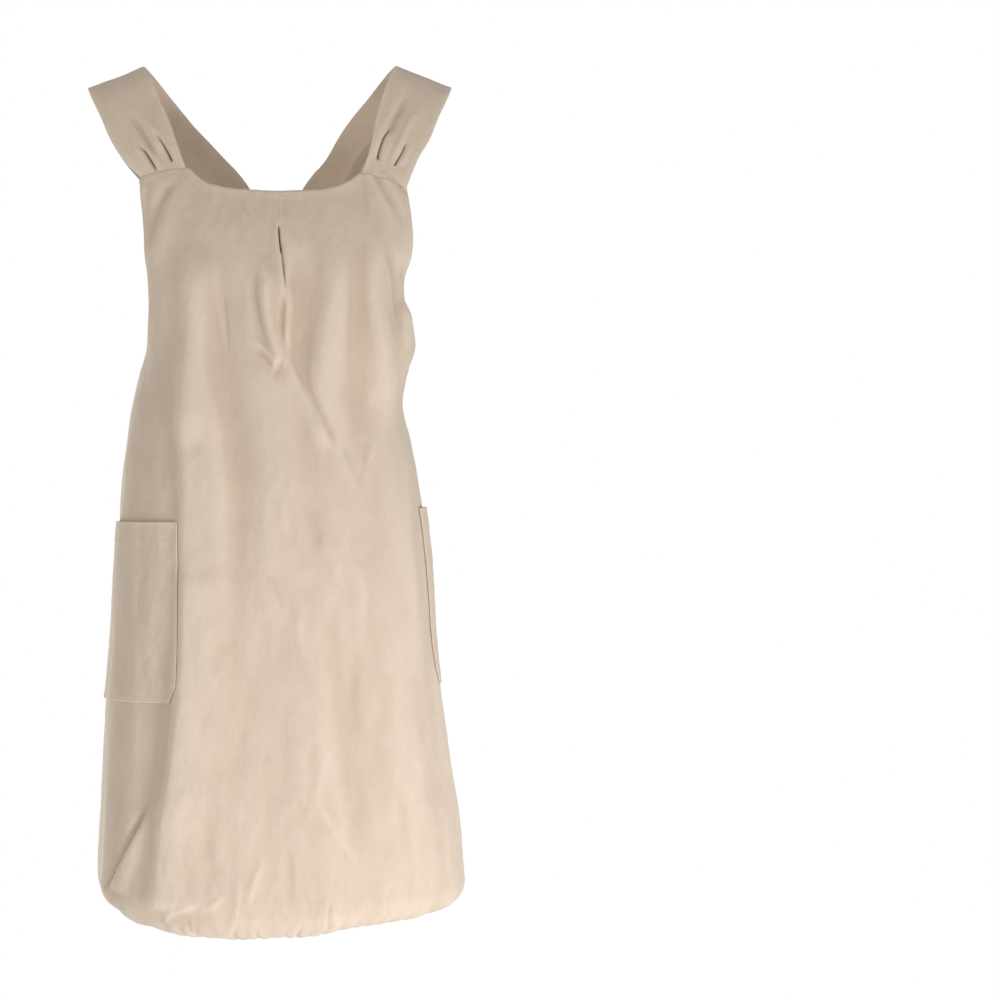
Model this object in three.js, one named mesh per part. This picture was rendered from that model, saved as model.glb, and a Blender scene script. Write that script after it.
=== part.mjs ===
// Cross back apron of washed linen, in the shape it has when it is worn.
// Millimetres, +Z up. The wearer faces -Y, so +X is the wearer's left.
// The origin is the middle of the shoulder line, level with the tops of the straps.
import * as THREE from "three";
import { mergeVertices } from "three/addons/utils/BufferGeometryUtils.js";

// Driving sizes of the whole apron
const apronHeight = 978; // strap tops to the lowest point of the hem
const hemHalfWidth = 212; // middle to side, just above the rolled hem
const hemFrontDepth = 142; // middle of the body to the front of the hem
const hemBackDepth = 125; // middle of the body to the back of the hem
const shoulderHalfSpan = 206.5; // middle of the shoulders to the outer corner of a strap
const shoulderDepth = 80; // middle of the shoulder to the strap, where it meets the back
const shoulderShift = -5; // the shoulders hang this far to the wearer's right

// Cloth and its seams
const clothThickness = 1.5;
const seamGap = 0.3; // between two pieces sewn edge to edge
const strapSeamGap = 0.6; // between a strap and the bib that it is gathered to
const crossingClearance = 1.5; // between the two straps where they cross
const pocketClearance = 1; // between a pocket's sewn edge and the panel
const pocketGape = 2.4; // how far the middle of a pocket stands off
const foldDepth = 8; // the deepest fold in the panel
const tuckDepth = 3; // the deepest tuck in a strap
const hemRoll = 28; // radius of the hem, which is gathered and turned under
const hemRollTurn = THREE.MathUtils.degToRad(125); // how far the hem rolls under
const puckerDepth = 3.5; // of the gathers along the hem
const bodySquareness = 2.35; // 2 is an ellipse, more is a squarer body
const linen = "#dccbb8";
const shadedLinen = "#cdb9a4";

// The body that the cloth hangs round, a row for each height.
// down: share of apronHeight; toRight and toLeft: the wearer's right (-X) and left (+X)
// half widths, shares of hemHalfWidth; front and back: shares of the hem's depths
const bodyRows = [
  { down: 0.112, toRight: 0.885, toLeft: 0.864, front: 0.507, back: 0.68 },
  { down: 0.153, toRight: 0.857, toLeft: 0.846, front: 0.606, back: 0.76 },
  { down: 0.204, toRight: 0.796, toLeft: 0.831, front: 0.746, back: 0.832 },
  { down: 0.266, toRight: 0.714, toLeft: 0.752, front: 0.831, back: 0.848 },
  { down: 0.322, toRight: 0.697, toLeft: 0.759, front: 0.817, back: 0.824 },
  { down: 0.368, toRight: 0.724, toLeft: 0.705, front: 0.789, back: 0.808 },
  { down: 0.397, toRight: 0.757, toLeft: 0.684, front: 0.775, back: 0.8 },
  { down: 0.44, toRight: 0.783, toLeft: 0.731, front: 0.775, back: 0.808 },
  { down: 0.486, toRight: 0.81, toLeft: 0.773, front: 0.789, back: 0.832 },
  { down: 0.58, toRight: 0.842, toLeft: 0.831, front: 0.803, back: 0.888 },
  { down: 0.672, toRight: 0.87, toLeft: 0.86, front: 0.831, back: 0.928 },
  { down: 0.812, toRight: 0.921, toLeft: 0.939, front: 0.908, back: 0.968 },
  { down: 0.882, toRight: 0.94, toLeft: 1.0, front: 0.958, back: 0.984 },
  { down: 0.961, toRight: 0.956, toLeft: 1.033, front: 1.0, back: 1.0 },
];

// The panel's side edges: armholes, then the side seams and free edges.
// toRight and toLeft are degrees round the body from the middle of the front
const edgeRows = [
  { down: 0.13, toRight: 71, toLeft: 70 },
  { down: 0.204, toRight: 67.5, toLeft: 68.5 },
  { down: 0.266, toRight: 69.5, toLeft: 69.5 },
  { down: 0.327, toRight: 77, toLeft: 79 },
  { down: 0.368, toRight: 88, toLeft: 99 },
  { down: 0.397, toRight: 97, toLeft: 117 },
  { down: 1, toRight: 97, toLeft: 117 },
];

// The panel's top edge. across: -1 and 1 are its outer corners; a strap is sewn on from
// there to strapCorner, and the neckline dips between the straps
const strapCorner = 0.775;
const neckRows = [
  { across: -1, down: 0.137 },
  { across: -0.775, down: 0.1285 },
  { across: -0.69, down: 0.1395 },
  { across: -0.6, down: 0.148 },
  { across: -0.42, down: 0.1535 },
  { across: 0, down: 0.1565 },
  { across: 0.42, down: 0.1545 },
  { across: 0.6, down: 0.149 },
  { across: 0.69, down: 0.142 },
  { across: 0.775, down: 0.133 },
  { across: 1, down: 0.147 },
];

// The lowest point of the hem, by degrees round the body
const hemRows = [
  { angle: -97, down: 0.961 },
  { angle: -75, down: 0.977 },
  { angle: -60, down: 0.99 },
  { angle: -40, down: 0.9995 },
  { angle: -12, down: 1.002 },
  { angle: 12, down: 1.001 },
  { angle: 32, down: 0.994 },
  { angle: 48, down: 0.987 },
  { angle: 66, down: 0.984 },
  { angle: 117, down: 0.963 },
];

// Folds of the panel, each along a line from one point to another.
// across: share of the body's half width there; down: share of apronHeight;
// width: share of hemHalfWidth; lift: share of foldDepth, and a groove's is negative
const panelFolds = [
  // the edge where the skirt turns from its front to its shaded side
  { fromAcross: -0.63, fromDown: 0.36, toAcross: -0.55, toDown: 0.62, width: 0.13, lift: 0.75 },
  { fromAcross: -0.55, fromDown: 0.62, toAcross: -0.67, toDown: 0.96, width: 0.15, lift: 0.95 },
  // folds that hang from the bust
  { fromAcross: -0.56, fromDown: 0.24, toAcross: -0.46, toDown: 0.34, width: 0.06, lift: 0.55 },
  { fromAcross: -0.36, fromDown: 0.262, toAcross: -0.29, toDown: 0.36, width: 0.045, lift: -0.4 },
  { fromAcross: 0.39, fromDown: 0.222, toAcross: 0.42, toDown: 0.42, width: 0.07, lift: 0.5 },
  { fromAcross: 0.61, fromDown: 0.228, toAcross: 0.77, toDown: 0.35, width: 0.06, lift: 0.5 },
  { fromAcross: 0.85, fromDown: 0.27, toAcross: 0.92, toDown: 0.35, width: 0.05, lift: -0.4 },
  // the pleat in the middle of the bib and the wrinkles below it
  { fromAcross: 0.02, fromDown: 0.2, toAcross: 0.068, toDown: 0.268, width: 0.035, lift: -0.75 },
  { fromAcross: -0.055, fromDown: 0.28, toAcross: 0.03, toDown: 0.343, width: 0.05, lift: 0.6 },
  { fromAcross: 0.225, fromDown: 0.317, toAcross: 0.34, toDown: 0.395, width: 0.07, lift: -0.45 },
  { fromAcross: 0.1, fromDown: 0.35, toAcross: 0.38, toDown: 0.436, width: 0.045, lift: -0.4 },
  // long soft folds of the skirt
  { fromAcross: -0.17, fromDown: 0.38, toAcross: -0.15, toDown: 0.587, width: 0.1, lift: -0.5 },
  { fromAcross: -0.03, fromDown: 0.375, toAcross: -0.08, toDown: 0.51, width: 0.06, lift: 0.4 },
  { fromAcross: 0.34, fromDown: 0.449, toAcross: 0.56, toDown: 0.502, width: 0.05, lift: -0.4 },
  { fromAcross: 0.47, fromDown: 0.709, toAcross: 0.61, toDown: 0.851, width: 0.14, lift: -0.5 },
  // the hem's side tucked behind its front, at the wearer's right
  { fromAcross: -0.72, fromDown: 0.872, toAcross: -0.94, toDown: 0.957, width: 0.05, lift: -0.9 },
];
const foldTaper = 0.16; // share of a fold's length over which each of its ends dies away
const hemWaves = [
  { count: 9, phase: 0.4, share: 0.55 },
  { count: 14, phase: 2.1, share: 0.45 },
];

// Both straps from the bib over the shoulder, seen on the wearer's left.
// inner and outer: shares of shoulderHalfSpan; innerDown and outerDown: shares of
// apronHeight; innerDeep and outerDeep: shares of shoulderDepth, behind is positive
const shoulderRows = [
  { inner: 0.547, innerDown: 0.1, innerDeep: -0.8, outer: 0.8, outerDown: 0.1145, outerDeep: -0.625 },
  { inner: 0.571, innerDown: 0.074, innerDeep: -0.68, outer: 0.868, outerDown: 0.09, outerDeep: -0.54 },
  { inner: 0.61, innerDown: 0.043, innerDeep: -0.48, outer: 0.93, outerDown: 0.058, outerDeep: -0.38 },
  { inner: 0.66, innerDown: 0.013, innerDeep: -0.24, outer: 0.98, outerDown: 0.035, outerDeep: -0.18 },
  { inner: 0.695, innerDown: 0, innerDeep: 0, outer: 1, outerDown: 0.0256, outerDeep: 0 },
  { inner: 0.65, innerDown: 0.008, innerDeep: 0.25, outer: 0.985, outerDown: 0.034, outerDeep: 0.21 },
  { inner: 0.535, innerDown: 0.0335, innerDeep: 0.65, outer: 0.91, outerDown: 0.066, outerDeep: 0.55 },
  { inner: 0.405, innerDown: 0.0633, innerDeep: 0.96, outer: 0.8, outerDown: 0.1125, outerDeep: 0.86 },
];

// The straps down the back to the wings, seen as going from the wearer's left to the right.
// The last row of each ends the wing at the panel's side seam
const overStrapRows = [
  { inner: 0.266, innerDown: 0.1, outer: 0.644, outerDown: 0.172 },
  { inner: 0.136, innerDown: 0.138, outer: 0.565, outerDown: 0.22 },
  { inner: 0.055, innerDown: 0.189, outer: 0.46, outerDown: 0.271 },
  { inner: -0.035, innerDown: 0.239, outer: 0.32, outerDown: 0.332 },
  { inner: -0.175, innerDown: 0.287, outer: 0.155, outerDown: 0.4 },
  { inner: -0.349, innerDown: 0.327, outer: -0.024, outerDown: 0.465 },
  { inner: -0.508, innerDown: 0.363, outer: -0.252, outerDown: 0.545 },
  { inner: -0.654, innerDown: 0.385, outer: -0.508, outerDown: 0.626 },
];
const overWingEnd = { innerDown: 0.4, outerDown: 0.693 };
const underStrapRows = [
  { inner: 0.266, innerDown: 0.1, outer: 0.63, outerDown: 0.17 },
  { inner: 0.136, innerDown: 0.138, outer: 0.535, outerDown: 0.209 },
  { inner: 0.05, innerDown: 0.189, outer: 0.4, outerDown: 0.246 },
  { inner: -0.04, innerDown: 0.243, outer: 0.21, outerDown: 0.291 },
  { inner: -0.14, innerDown: 0.302, outer: 0.02, outerDown: 0.348 },
  { inner: -0.24, innerDown: 0.357, outer: -0.13, outerDown: 0.41 },
  { inner: -0.37, innerDown: 0.381, outer: -0.17, outerDown: 0.477 },
  { inner: -0.49, innerDown: 0.389, outer: -0.43, outerDown: 0.557 },
];
const underWingEnd = { innerDown: 0.4, outerDown: 0.633 };

// Tucks and folds of the straps. across: 0 is the inner edge and 1 the outer one;
// from and to: row numbers along the strap; width: share of its width; lift: share of tuckDepth
const rowLength = 0.05; // length of a row, as a share of the strap's width, where folds are measured
const frontTucks = [
  { fromAcross: 0.3, from: 0, toAcross: 0.26, to: 1.3, width: 0.08, lift: -0.9 },
  { fromAcross: 0.62, from: 0, toAcross: 0.5, to: 1.4, width: 0.08, lift: -0.9 },
  { fromAcross: 0.46, from: 0, toAcross: 0.4, to: 1.6, width: 0.09, lift: 0.6 },
];
const overStrapFolds = [
  { fromAcross: 0.36, from: 5.4, toAcross: 0.5, to: 7.6, width: 0.08, lift: -0.7 },
  { fromAcross: 0.42, from: 7.8, toAcross: 0.5, to: 14, width: 0.08, lift: -1 },
  { fromAcross: 0.62, from: 7.6, toAcross: 0.75, to: 12.4, width: 0.08, lift: -0.7 },
  { fromAcross: 0.25, from: 12, toAcross: 0.3, to: 15.5, width: 0.12, lift: 0.7 },
];
const underStrapFolds = [
  { fromAcross: 0.5, from: 6.6, toAcross: 0.42, to: 11, width: 0.1, lift: -0.8 },
];

// Rows between which a strap comes to lie on the back, and over which the over strap rises
// off the under strap at the crossing and comes down again
const backRowsFrom = { start: 7.5, full: 9.5 };
const crossingRows = { start: 8.5, on: 10, off: 14.6, end: 16.2 };

// Patch pockets. frontTop, frontBottom and rear: degrees round the body at the pocket's edges;
// top and bottom: shares of apronHeight; cornerAcross and cornerUp: the cut bottom corners,
// as shares of the pocket's width and of its height
const rightPocket = {
  frontTop: -47, frontBottom: -44, rear: -93, top: 0.533, bottom: 0.737, cornerAcross: 0.07, cornerUp: 0.09,
};
const leftPocket = {
  frontTop: 77, frontBottom: 78, rear: 115.5, top: 0.517, bottom: 0.721, cornerAcross: 0.07, cornerUp: 0.09,
};

// Mesh fineness: cells across and along each sheet
const panelCells = { across: 44, along: 36 };
const panelRollCells = 5; // of those along the panel, round the hem's roll
const puckerCells = 15; // of those along the panel, over which the gathers die away
const strapCells = { across: 8, along: 51 };
const pocketCells = { across: 11, along: 8 };
const step = 1e-3; // for slopes of a sheet, as a share of its length

const radians = THREE.MathUtils.degToRad;

// A column of a table at any key, on a smooth line that never overshoots its rows
function tableValue(rows, keyName, key, column) {
  const last = rows.length - 1;
  const reach = THREE.MathUtils.clamp(key, rows[0][keyName], rows[last][keyName]);
  let i = 0;
  while (i < last - 1 && rows[i + 1][keyName] < reach) i += 1;
  const slope = (j) =>
    (rows[j + 1][column] - rows[j][column]) / (rows[j + 1][keyName] - rows[j][keyName]);
  const tangent = (j) => {
    if (j === 0) return slope(0);
    if (j === last) return slope(last - 1);
    const before = slope(j - 1);
    const after = slope(j);
    return before * after <= 0 ? 0 : (2 * before * after) / (before + after);
  };
  const span = rows[i + 1][keyName] - rows[i][keyName];
  const t = (reach - rows[i][keyName]) / span;
  const t2 = t * t;
  const t3 = t2 * t;
  return (
    (2 * t3 - 3 * t2 + 1) * rows[i][column] +
    (t3 - 2 * t2 + t) * span * tangent(i) +
    (3 * t2 - 2 * t3) * rows[i + 1][column] +
    (t3 - t2) * span * tangent(i + 1)
  );
}

// Half width of the body at a height, on the side that the sign of x names
function halfWidth(down, side) {
  return tableValue(bodyRows, "down", down, side < 0 ? "toRight" : "toLeft") * hemHalfWidth;
}

// Depth of the body at a height, at its front (behind < 0) or its back
function halfDepth(down, behind) {
  return behind < 0
    ? tableValue(bodyRows, "down", down, "front") * hemFrontDepth
    : tableValue(bodyRows, "down", down, "back") * hemBackDepth;
}

// A point on the body, angle being 0 at the front and positive to the wearer's left
function bodyPoint(angle, z, inset = 0) {
  const down = -z / apronHeight;
  const side = Math.sin(angle);
  const behind = -Math.cos(angle);
  const radius =
    ((Math.abs(side) / halfWidth(down, side)) ** bodySquareness +
      (Math.abs(behind) / halfDepth(down, behind)) ** bodySquareness) **
      (-1 / bodySquareness) -
    inset;
  return new THREE.Vector3(radius * side, radius * behind, z);
}

// The point of the body's back that lies straight behind x
function backPoint(x, z) {
  const down = -z / apronHeight;
  const share = Math.min(Math.abs(x) / halfWidth(down, x), 1);
  const y = halfDepth(down, 1) * (1 - share ** bodySquareness) ** (1 / bodySquareness);
  return new THREE.Vector3(x, y, z);
}

// How strongly a fold along the line a-b lifts the point p, from 0 to 1
function foldShare(p, a, b, width) {
  const along = b.clone().sub(a);
  const t = p.clone().sub(a).dot(along) / along.lengthSq();
  const nearest = THREE.MathUtils.clamp(t, 0, 1);
  const distance = a.clone().addScaledVector(along, nearest).distanceTo(p);
  const taper =
    THREE.MathUtils.smoothstep(t, -foldTaper, foldTaper) *
    THREE.MathUtils.smoothstep(1 - t, -foldTaper, foldTaper);
  return taper * Math.exp(-((distance / width) ** 2));
}

// How far the panel's folds lift it at a point of its front
function panelFoldLift(point) {
  if (point.y > 0) return 0;
  const here = new THREE.Vector2(point.x, point.z);
  const place = (across, down) =>
    new THREE.Vector2(across * halfWidth(down, across), -down * apronHeight);
  return panelFolds.reduce((sum, fold) => {
    const from = place(fold.fromAcross, fold.fromDown);
    const to = place(fold.toAcross, fold.toDown);
    return sum + fold.lift * foldDepth * foldShare(here, from, to, fold.width * hemHalfWidth);
  }, 0);
}

// The direction out of a sheet at (s, v), from its own slopes
function outward(sheet, s, v) {
  const acrossIt = sheet(Math.min(s + step, 1), v).sub(sheet(Math.max(s - step, 0), v));
  const alongIt = sheet(s, Math.min(v + step, 1)).sub(sheet(s, Math.max(v - step, 0)));
  return acrossIt.cross(alongIt).normalize();
}

// The same sheet, moved out along its own direction
function lifted(sheet, lift) {
  return (s, v) => sheet(s, v).addScaledVector(outward(sheet, s, v), lift(s, v));
}

// A closed piece of cloth whose middle is the sheet, s from 0 to 1 across and v along it
function cloth(name, sheet, cells, colour) {
  const box = new THREE.BoxGeometry(1, 1, 1, cells.across, cells.along, 1);
  box.deleteAttribute("normal");
  box.deleteAttribute("uv");
  const geometry = mergeVertices(box);
  const places = geometry.attributes.position;
  for (let i = 0; i < places.count; i += 1) {
    const s = places.getX(i) + 0.5;
    const v = places.getY(i) + 0.5;
    const away = places.getZ(i) * clothThickness;
    const point = sheet(s, v).addScaledVector(outward(sheet, s, v), away);
    places.setXYZ(i, point.x, point.y, point.z);
  }
  geometry.computeVertexNormals();
  const finish = new THREE.MeshStandardMaterial({ color: colour, roughness: 0.9, metalness: 0 });
  const mesh = new THREE.Mesh(geometry, finish);
  mesh.name = name;
  return mesh;
}

// Angle of the panel's edge at a height, on one side
function edgeAngle(down, side) {
  const column = side < 0 ? "toRight" : "toLeft";
  return Math.sign(side) * radians(tableValue(edgeRows, "down", down, column));
}

// The panel between its edges, s from the wearer's right to the left
function panelAngle(s, down) {
  return THREE.MathUtils.lerp(edgeAngle(down, -1), edgeAngle(down, 1), s);
}

// The panel's top edge at s
function topDown(s) {
  return tableValue(neckRows, "across", 2 * s - 1, "down");
}

// The front panel without its folds: v is 0 at the inner end of the hem's roll, 1 at the top
function plainPanel(s, v) {
  const rollShare = panelRollCells / panelCells.along;
  const hemAngle = panelAngle(s, 1);
  const lowest = tableValue(hemRows, "angle", THREE.MathUtils.radToDeg(hemAngle), "down");
  const rollTop = -lowest * apronHeight + hemRoll;
  if (v <= rollShare) {
    const turn = hemRollTurn * (1 - v / rollShare);
    const rolled = bodyPoint(hemAngle, rollTop, hemRoll * (1 - Math.cos(turn)));
    rolled.z -= hemRoll * Math.sin(turn);
    return rolled;
  }
  const up = (v - rollShare) / (1 - rollShare);
  const z = THREE.MathUtils.lerp(rollTop, -topDown(s) * apronHeight, up);
  return bodyPoint(panelAngle(s, -z / apronHeight), z);
}

// The gathers of the hem, dying away up the skirt
function hemPucker(s, v) {
  const angle = panelAngle(s, 1);
  const strength = 1 - THREE.MathUtils.smoothstep(v, 0, puckerCells / panelCells.along);
  const addWave = (sum, wave) => sum + wave.share * Math.sin(wave.count * angle + wave.phase);
  const wave = hemWaves.reduce(addWave, 0);
  return puckerDepth * strength * wave;
}

const panelSheet = lifted(
  plainPanel,
  (s, v) => panelFoldLift(plainPanel(s, v)) + hemPucker(s, v),
);

// The body with the panel's folds, for what is sewn on the panel
function foldedBody(angle, z) {
  const point = bodyPoint(angle, z);
  const turned = bodyPoint(angle + step, z).sub(point);
  const raised = bodyPoint(angle, z + 1).sub(point);
  return point.addScaledVector(turned.cross(raised).normalize(), panelFoldLift(point));
}

// A patch pocket, s from its wearer's-right edge to its left one, v up from its bottom
function pocketSheet(pocket) {
  const side = Math.sign(pocket.rear);
  const sewn = (s, v) => {
    const fromFront = side < 0 ? 1 - s : s;
    const cut = Math.max(0, 1 - v / pocket.cornerUp) * pocket.cornerAcross;
    const share = cut + fromFront * (1 - 2 * cut);
    const front = THREE.MathUtils.lerp(pocket.frontBottom, pocket.frontTop, v);
    const angle = radians(THREE.MathUtils.lerp(front, pocket.rear, share));
    const down = THREE.MathUtils.lerp(pocket.bottom, pocket.top, v);
    return foldedBody(angle, -down * apronHeight);
  };
  const off = (s, v) =>
    clothThickness +
    pocketClearance +
    pocketGape * Math.sin(Math.PI * s) * Math.sin((Math.PI / 2) * v);
  return lifted(sewn, off);
}

// A strap from the bib over the shoulder to the wing, for the wearer's left (1) or right (-1)
function strapSheet(side, backRows, wingEnd, folds, crossingLift) {
  const corner = (across, gap) => {
    const s = 0.5 + 0.5 * side * across;
    const down = topDown(s);
    const z = -down * apronHeight;
    const point = bodyPoint(panelAngle(s, down), z);
    point.z += gap;
    return point;
  };
  const shoulderPoint = (across, down, deep) =>
    new THREE.Vector3(
      shoulderShift + side * across * shoulderHalfSpan,
      deep * shoulderDepth,
      -down * apronHeight,
    );
  const wingPoint = (down) => {
    const edge = edgeAngle(down, -side);
    const z = -down * apronHeight;
    const seam = bodyPoint(edge, z);
    const gapAngle = seamGap / Math.hypot(seam.x, seam.y);
    return bodyPoint(edge - side * gapAngle, z);
  };
  const strapPoint = (across, down) =>
    backPoint(side * across * shoulderHalfSpan, -down * apronHeight);
  const edgeCurve = (edge, seamAcross) =>
    new THREE.CatmullRomCurve3([
      corner(seamAcross, strapSeamGap),
      ...shoulderRows.map((row) => shoulderPoint(row[edge], row[edge + "Down"], row[edge + "Deep"])),
      ...backRows.map((row) => strapPoint(row[edge], row[edge + "Down"])),
      wingPoint(wingEnd[edge + "Down"]),
    ]);
  const inner = edgeCurve("inner", strapCorner);
  const outer = edgeCurve("outer", 1);
  const rows = inner.points.length - 1;

  // the straight line between the edges, laid on the seam at the bib and on the body behind
  const flat = (s, v) => {
    const across = side < 0 ? 1 - s : s;
    const row = v * rows;
    const point = inner.getPoint(v).lerp(outer.getPoint(v), across);
    const seamShare = 1 - THREE.MathUtils.smoothstep(row, 0, 1);
    const seamAcross = THREE.MathUtils.lerp(strapCorner, 1, across);
    const seam = corner(seamAcross, strapSeamGap);
    const seamChord = inner.getPoint(0).lerp(outer.getPoint(0), across);
    point.addScaledVector(seam.sub(seamChord), seamShare);
    const onBody = bodyPoint(Math.atan2(point.x, -point.y), point.z);
    return point.lerp(onBody, THREE.MathUtils.smoothstep(row, backRowsFrom.start, backRowsFrom.full));
  };
  const lift = (s, v) => {
    const across = side < 0 ? 1 - s : s;
    const here = new THREE.Vector2(across, v * rows * rowLength);
    const tucks = folds.reduce((sum, fold) => {
      const from = new THREE.Vector2(fold.fromAcross, fold.from * rowLength);
      const to = new THREE.Vector2(fold.toAcross, fold.to * rowLength);
      return sum + fold.lift * tuckDepth * foldShare(here, from, to, fold.width);
    }, 0);
    return tucks + crossingLift(v * rows);
  };
  return lifted(flat, lift);
}

// The over strap stands off the under strap between these rows
function overCrossing(row) {
  const rise = THREE.MathUtils.smoothstep(row, crossingRows.start, crossingRows.on);
  const fall = 1 - THREE.MathUtils.smoothstep(row, crossingRows.off, crossingRows.end);
  return (clothThickness + crossingClearance + tuckDepth) * rise * fall;
}

const overFolds = [...frontTucks, ...overStrapFolds];
const underFolds = [...frontTucks, ...underStrapFolds];
const overStrap = strapSheet(1, overStrapRows, overWingEnd, overFolds, overCrossing);
const underStrap = strapSheet(-1, underStrapRows, underWingEnd, underFolds, () => 0);

const apron = new THREE.Group();
apron.name = "cross_back_apron";
apron.add(
  cloth("front_panel", panelSheet, panelCells, linen),
  cloth("over_strap", overStrap, strapCells, linen),
  cloth("under_strap", underStrap, strapCells, linen),
  cloth("right_pocket", pocketSheet(rightPocket), pocketCells, shadedLinen),
  cloth("left_pocket", pocketSheet(leftPocket), pocketCells, shadedLinen),
);

export default apron;
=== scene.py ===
"""Cross back apron of washed linen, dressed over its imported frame.

Metres, +Z up. The wearer faces -Y, so +X is the wearer's left. The origin is the middle of the
shoulder line. Every sheet is a grid of points over the body that the cloth hangs round.
"""
import logging
import math
import sys
from dataclasses import dataclass, field, replace
from enum import Enum

import bpy
import numpy as np
from bpy.types import ID, Material, Node, NodeSocket, NodeTree, Object
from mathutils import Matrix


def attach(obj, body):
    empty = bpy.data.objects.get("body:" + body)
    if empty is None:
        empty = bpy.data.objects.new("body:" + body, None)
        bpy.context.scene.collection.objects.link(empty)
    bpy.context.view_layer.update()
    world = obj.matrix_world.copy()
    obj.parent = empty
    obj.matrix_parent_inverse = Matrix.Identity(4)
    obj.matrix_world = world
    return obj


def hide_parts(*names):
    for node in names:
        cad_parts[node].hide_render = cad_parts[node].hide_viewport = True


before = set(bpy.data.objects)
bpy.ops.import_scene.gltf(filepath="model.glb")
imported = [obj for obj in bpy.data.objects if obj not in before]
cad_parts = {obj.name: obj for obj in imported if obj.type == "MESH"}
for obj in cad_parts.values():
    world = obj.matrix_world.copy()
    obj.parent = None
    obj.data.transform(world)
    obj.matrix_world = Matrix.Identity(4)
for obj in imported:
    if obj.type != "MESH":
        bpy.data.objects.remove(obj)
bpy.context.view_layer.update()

MM = 0.001
# how far a cloth's edge is rounded out, as a share of half its thickness
EDGE_ROUNDING = 0.8
Array = np.ndarray
log = logging.getLogger("apron")


class Table:
    """A short table with named columns, read on a smooth line that never overshoots its rows."""

    def __init__(self, columns: str, *rows: tuple) -> None:
        """Keep the rows.

        Args:
            columns: the columns' names, the key first.
            rows: one tuple of numbers for each row.
        """
        self.names = columns.split()
        self.values = np.array(rows, dtype=float)

    def column(self, name: str) -> Array:
        """Return one column by its name."""
        return self.values[:, self.names.index(name)]

    def at(self, key: Array, name: str) -> Array:
        """Read a column at any place in the first one."""
        keys = self.values[:, 0]
        heights = self.column(name)
        reach = np.clip(key, keys[0], keys[-1])
        slopes = np.diff(heights) / np.diff(keys)
        product = slopes[:-1] * slopes[1:]
        total = slopes[:-1] + slopes[1:]
        inner = np.where(product > 0, 2 * product / np.where(total == 0, 1, total), 0)
        tangents = np.concatenate([[slopes[0]], inner, [slopes[-1]]])
        i = np.clip(np.searchsorted(keys, reach, side="right") - 1, 0, len(keys) - 2)
        span = keys[i + 1] - keys[i]
        t = (reach - keys[i]) / span
        t2 = t * t
        t3 = t2 * t
        return (
            (2 * t3 - 3 * t2 + 1) * heights[i]
            + (t3 - 2 * t2 + t) * span * tangents[i]
            + (3 * t2 - 2 * t3) * heights[i + 1]
            + (t3 - t2) * span * tangents[i + 1]
        )


# The body that the cloth hangs round. down: share of the apron's height; to_right and to_left:
# half widths, shares of the hem's; front and back: shares of the hem's depths
BODY_ROWS = Table(
    "down to_right to_left front back",
    (0.112, 0.885, 0.864, 0.507, 0.68),
    (0.153, 0.857, 0.846, 0.606, 0.76),
    (0.204, 0.796, 0.831, 0.746, 0.832),
    (0.266, 0.714, 0.752, 0.831, 0.848),
    (0.322, 0.697, 0.759, 0.817, 0.824),
    (0.368, 0.724, 0.705, 0.789, 0.808),
    (0.397, 0.757, 0.684, 0.775, 0.8),
    (0.44, 0.783, 0.731, 0.775, 0.808),
    (0.486, 0.81, 0.773, 0.789, 0.832),
    (0.58, 0.842, 0.831, 0.803, 0.888),
    (0.672, 0.87, 0.86, 0.831, 0.928),
    (0.812, 0.921, 0.939, 0.908, 0.968),
    (0.882, 0.94, 1.0, 0.958, 0.984),
    (0.961, 0.956, 1.033, 1.0, 1.0),
)

# The panel's side edges, in degrees round the body from the middle of the front
EDGE_ROWS = Table(
    "down to_right to_left",
    (0.13, 71, 70),
    (0.204, 67.5, 68.5),
    (0.266, 69.5, 69.5),
    (0.327, 77, 79),
    (0.368, 88, 99),
    (0.397, 97, 117),
    (1, 97, 117),
)

# The panel's top edge. across: -1 and 1 are its outer corners
NECK_ROWS = Table(
    "across down",
    (-1, 0.137),
    (-0.775, 0.1285),
    (-0.69, 0.1395),
    (-0.6, 0.148),
    (-0.42, 0.1535),
    (0, 0.1565),
    (0.42, 0.1545),
    (0.6, 0.149),
    (0.69, 0.142),
    (0.775, 0.133),
    (1, 0.147),
)

# The lowest point of the hem, by degrees round the body
HEM_ROWS = Table(
    "angle down",
    (-97, 0.961),
    (-75, 0.977),
    (-60, 0.99),
    (-40, 0.9995),
    (-12, 1.002),
    (12, 1.001),
    (32, 0.994),
    (48, 0.987),
    (66, 0.984),
    (117, 0.963),
)

# Both straps over the shoulder. inner and outer: shares of the shoulders' half span;
# inner_down and outer_down: of the height; inner_deep and outer_deep: of the shoulder's depth
SHOULDER_ROWS = Table(
    "row inner inner_down inner_deep outer outer_down outer_deep",
    (1, 0.547, 0.1, -0.765, 0.8, 0.1145, -0.6),
    (2, 0.571, 0.074, -0.635, 0.868, 0.09, -0.505),
    (3, 0.61, 0.043, -0.445, 0.93, 0.058, -0.355),
    (4, 0.66, 0.013, -0.24, 0.98, 0.035, -0.18),
    (5, 0.695, 0, 0, 1, 0.0256, 0),
    (6, 0.65, 0.008, 0.25, 0.985, 0.034, 0.21),
    (7, 0.543, 0.0335, 0.65, 0.91, 0.066, 0.55),
    (8, 0.42, 0.0633, 0.96, 0.8, 0.1125, 0.86),
)

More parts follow.
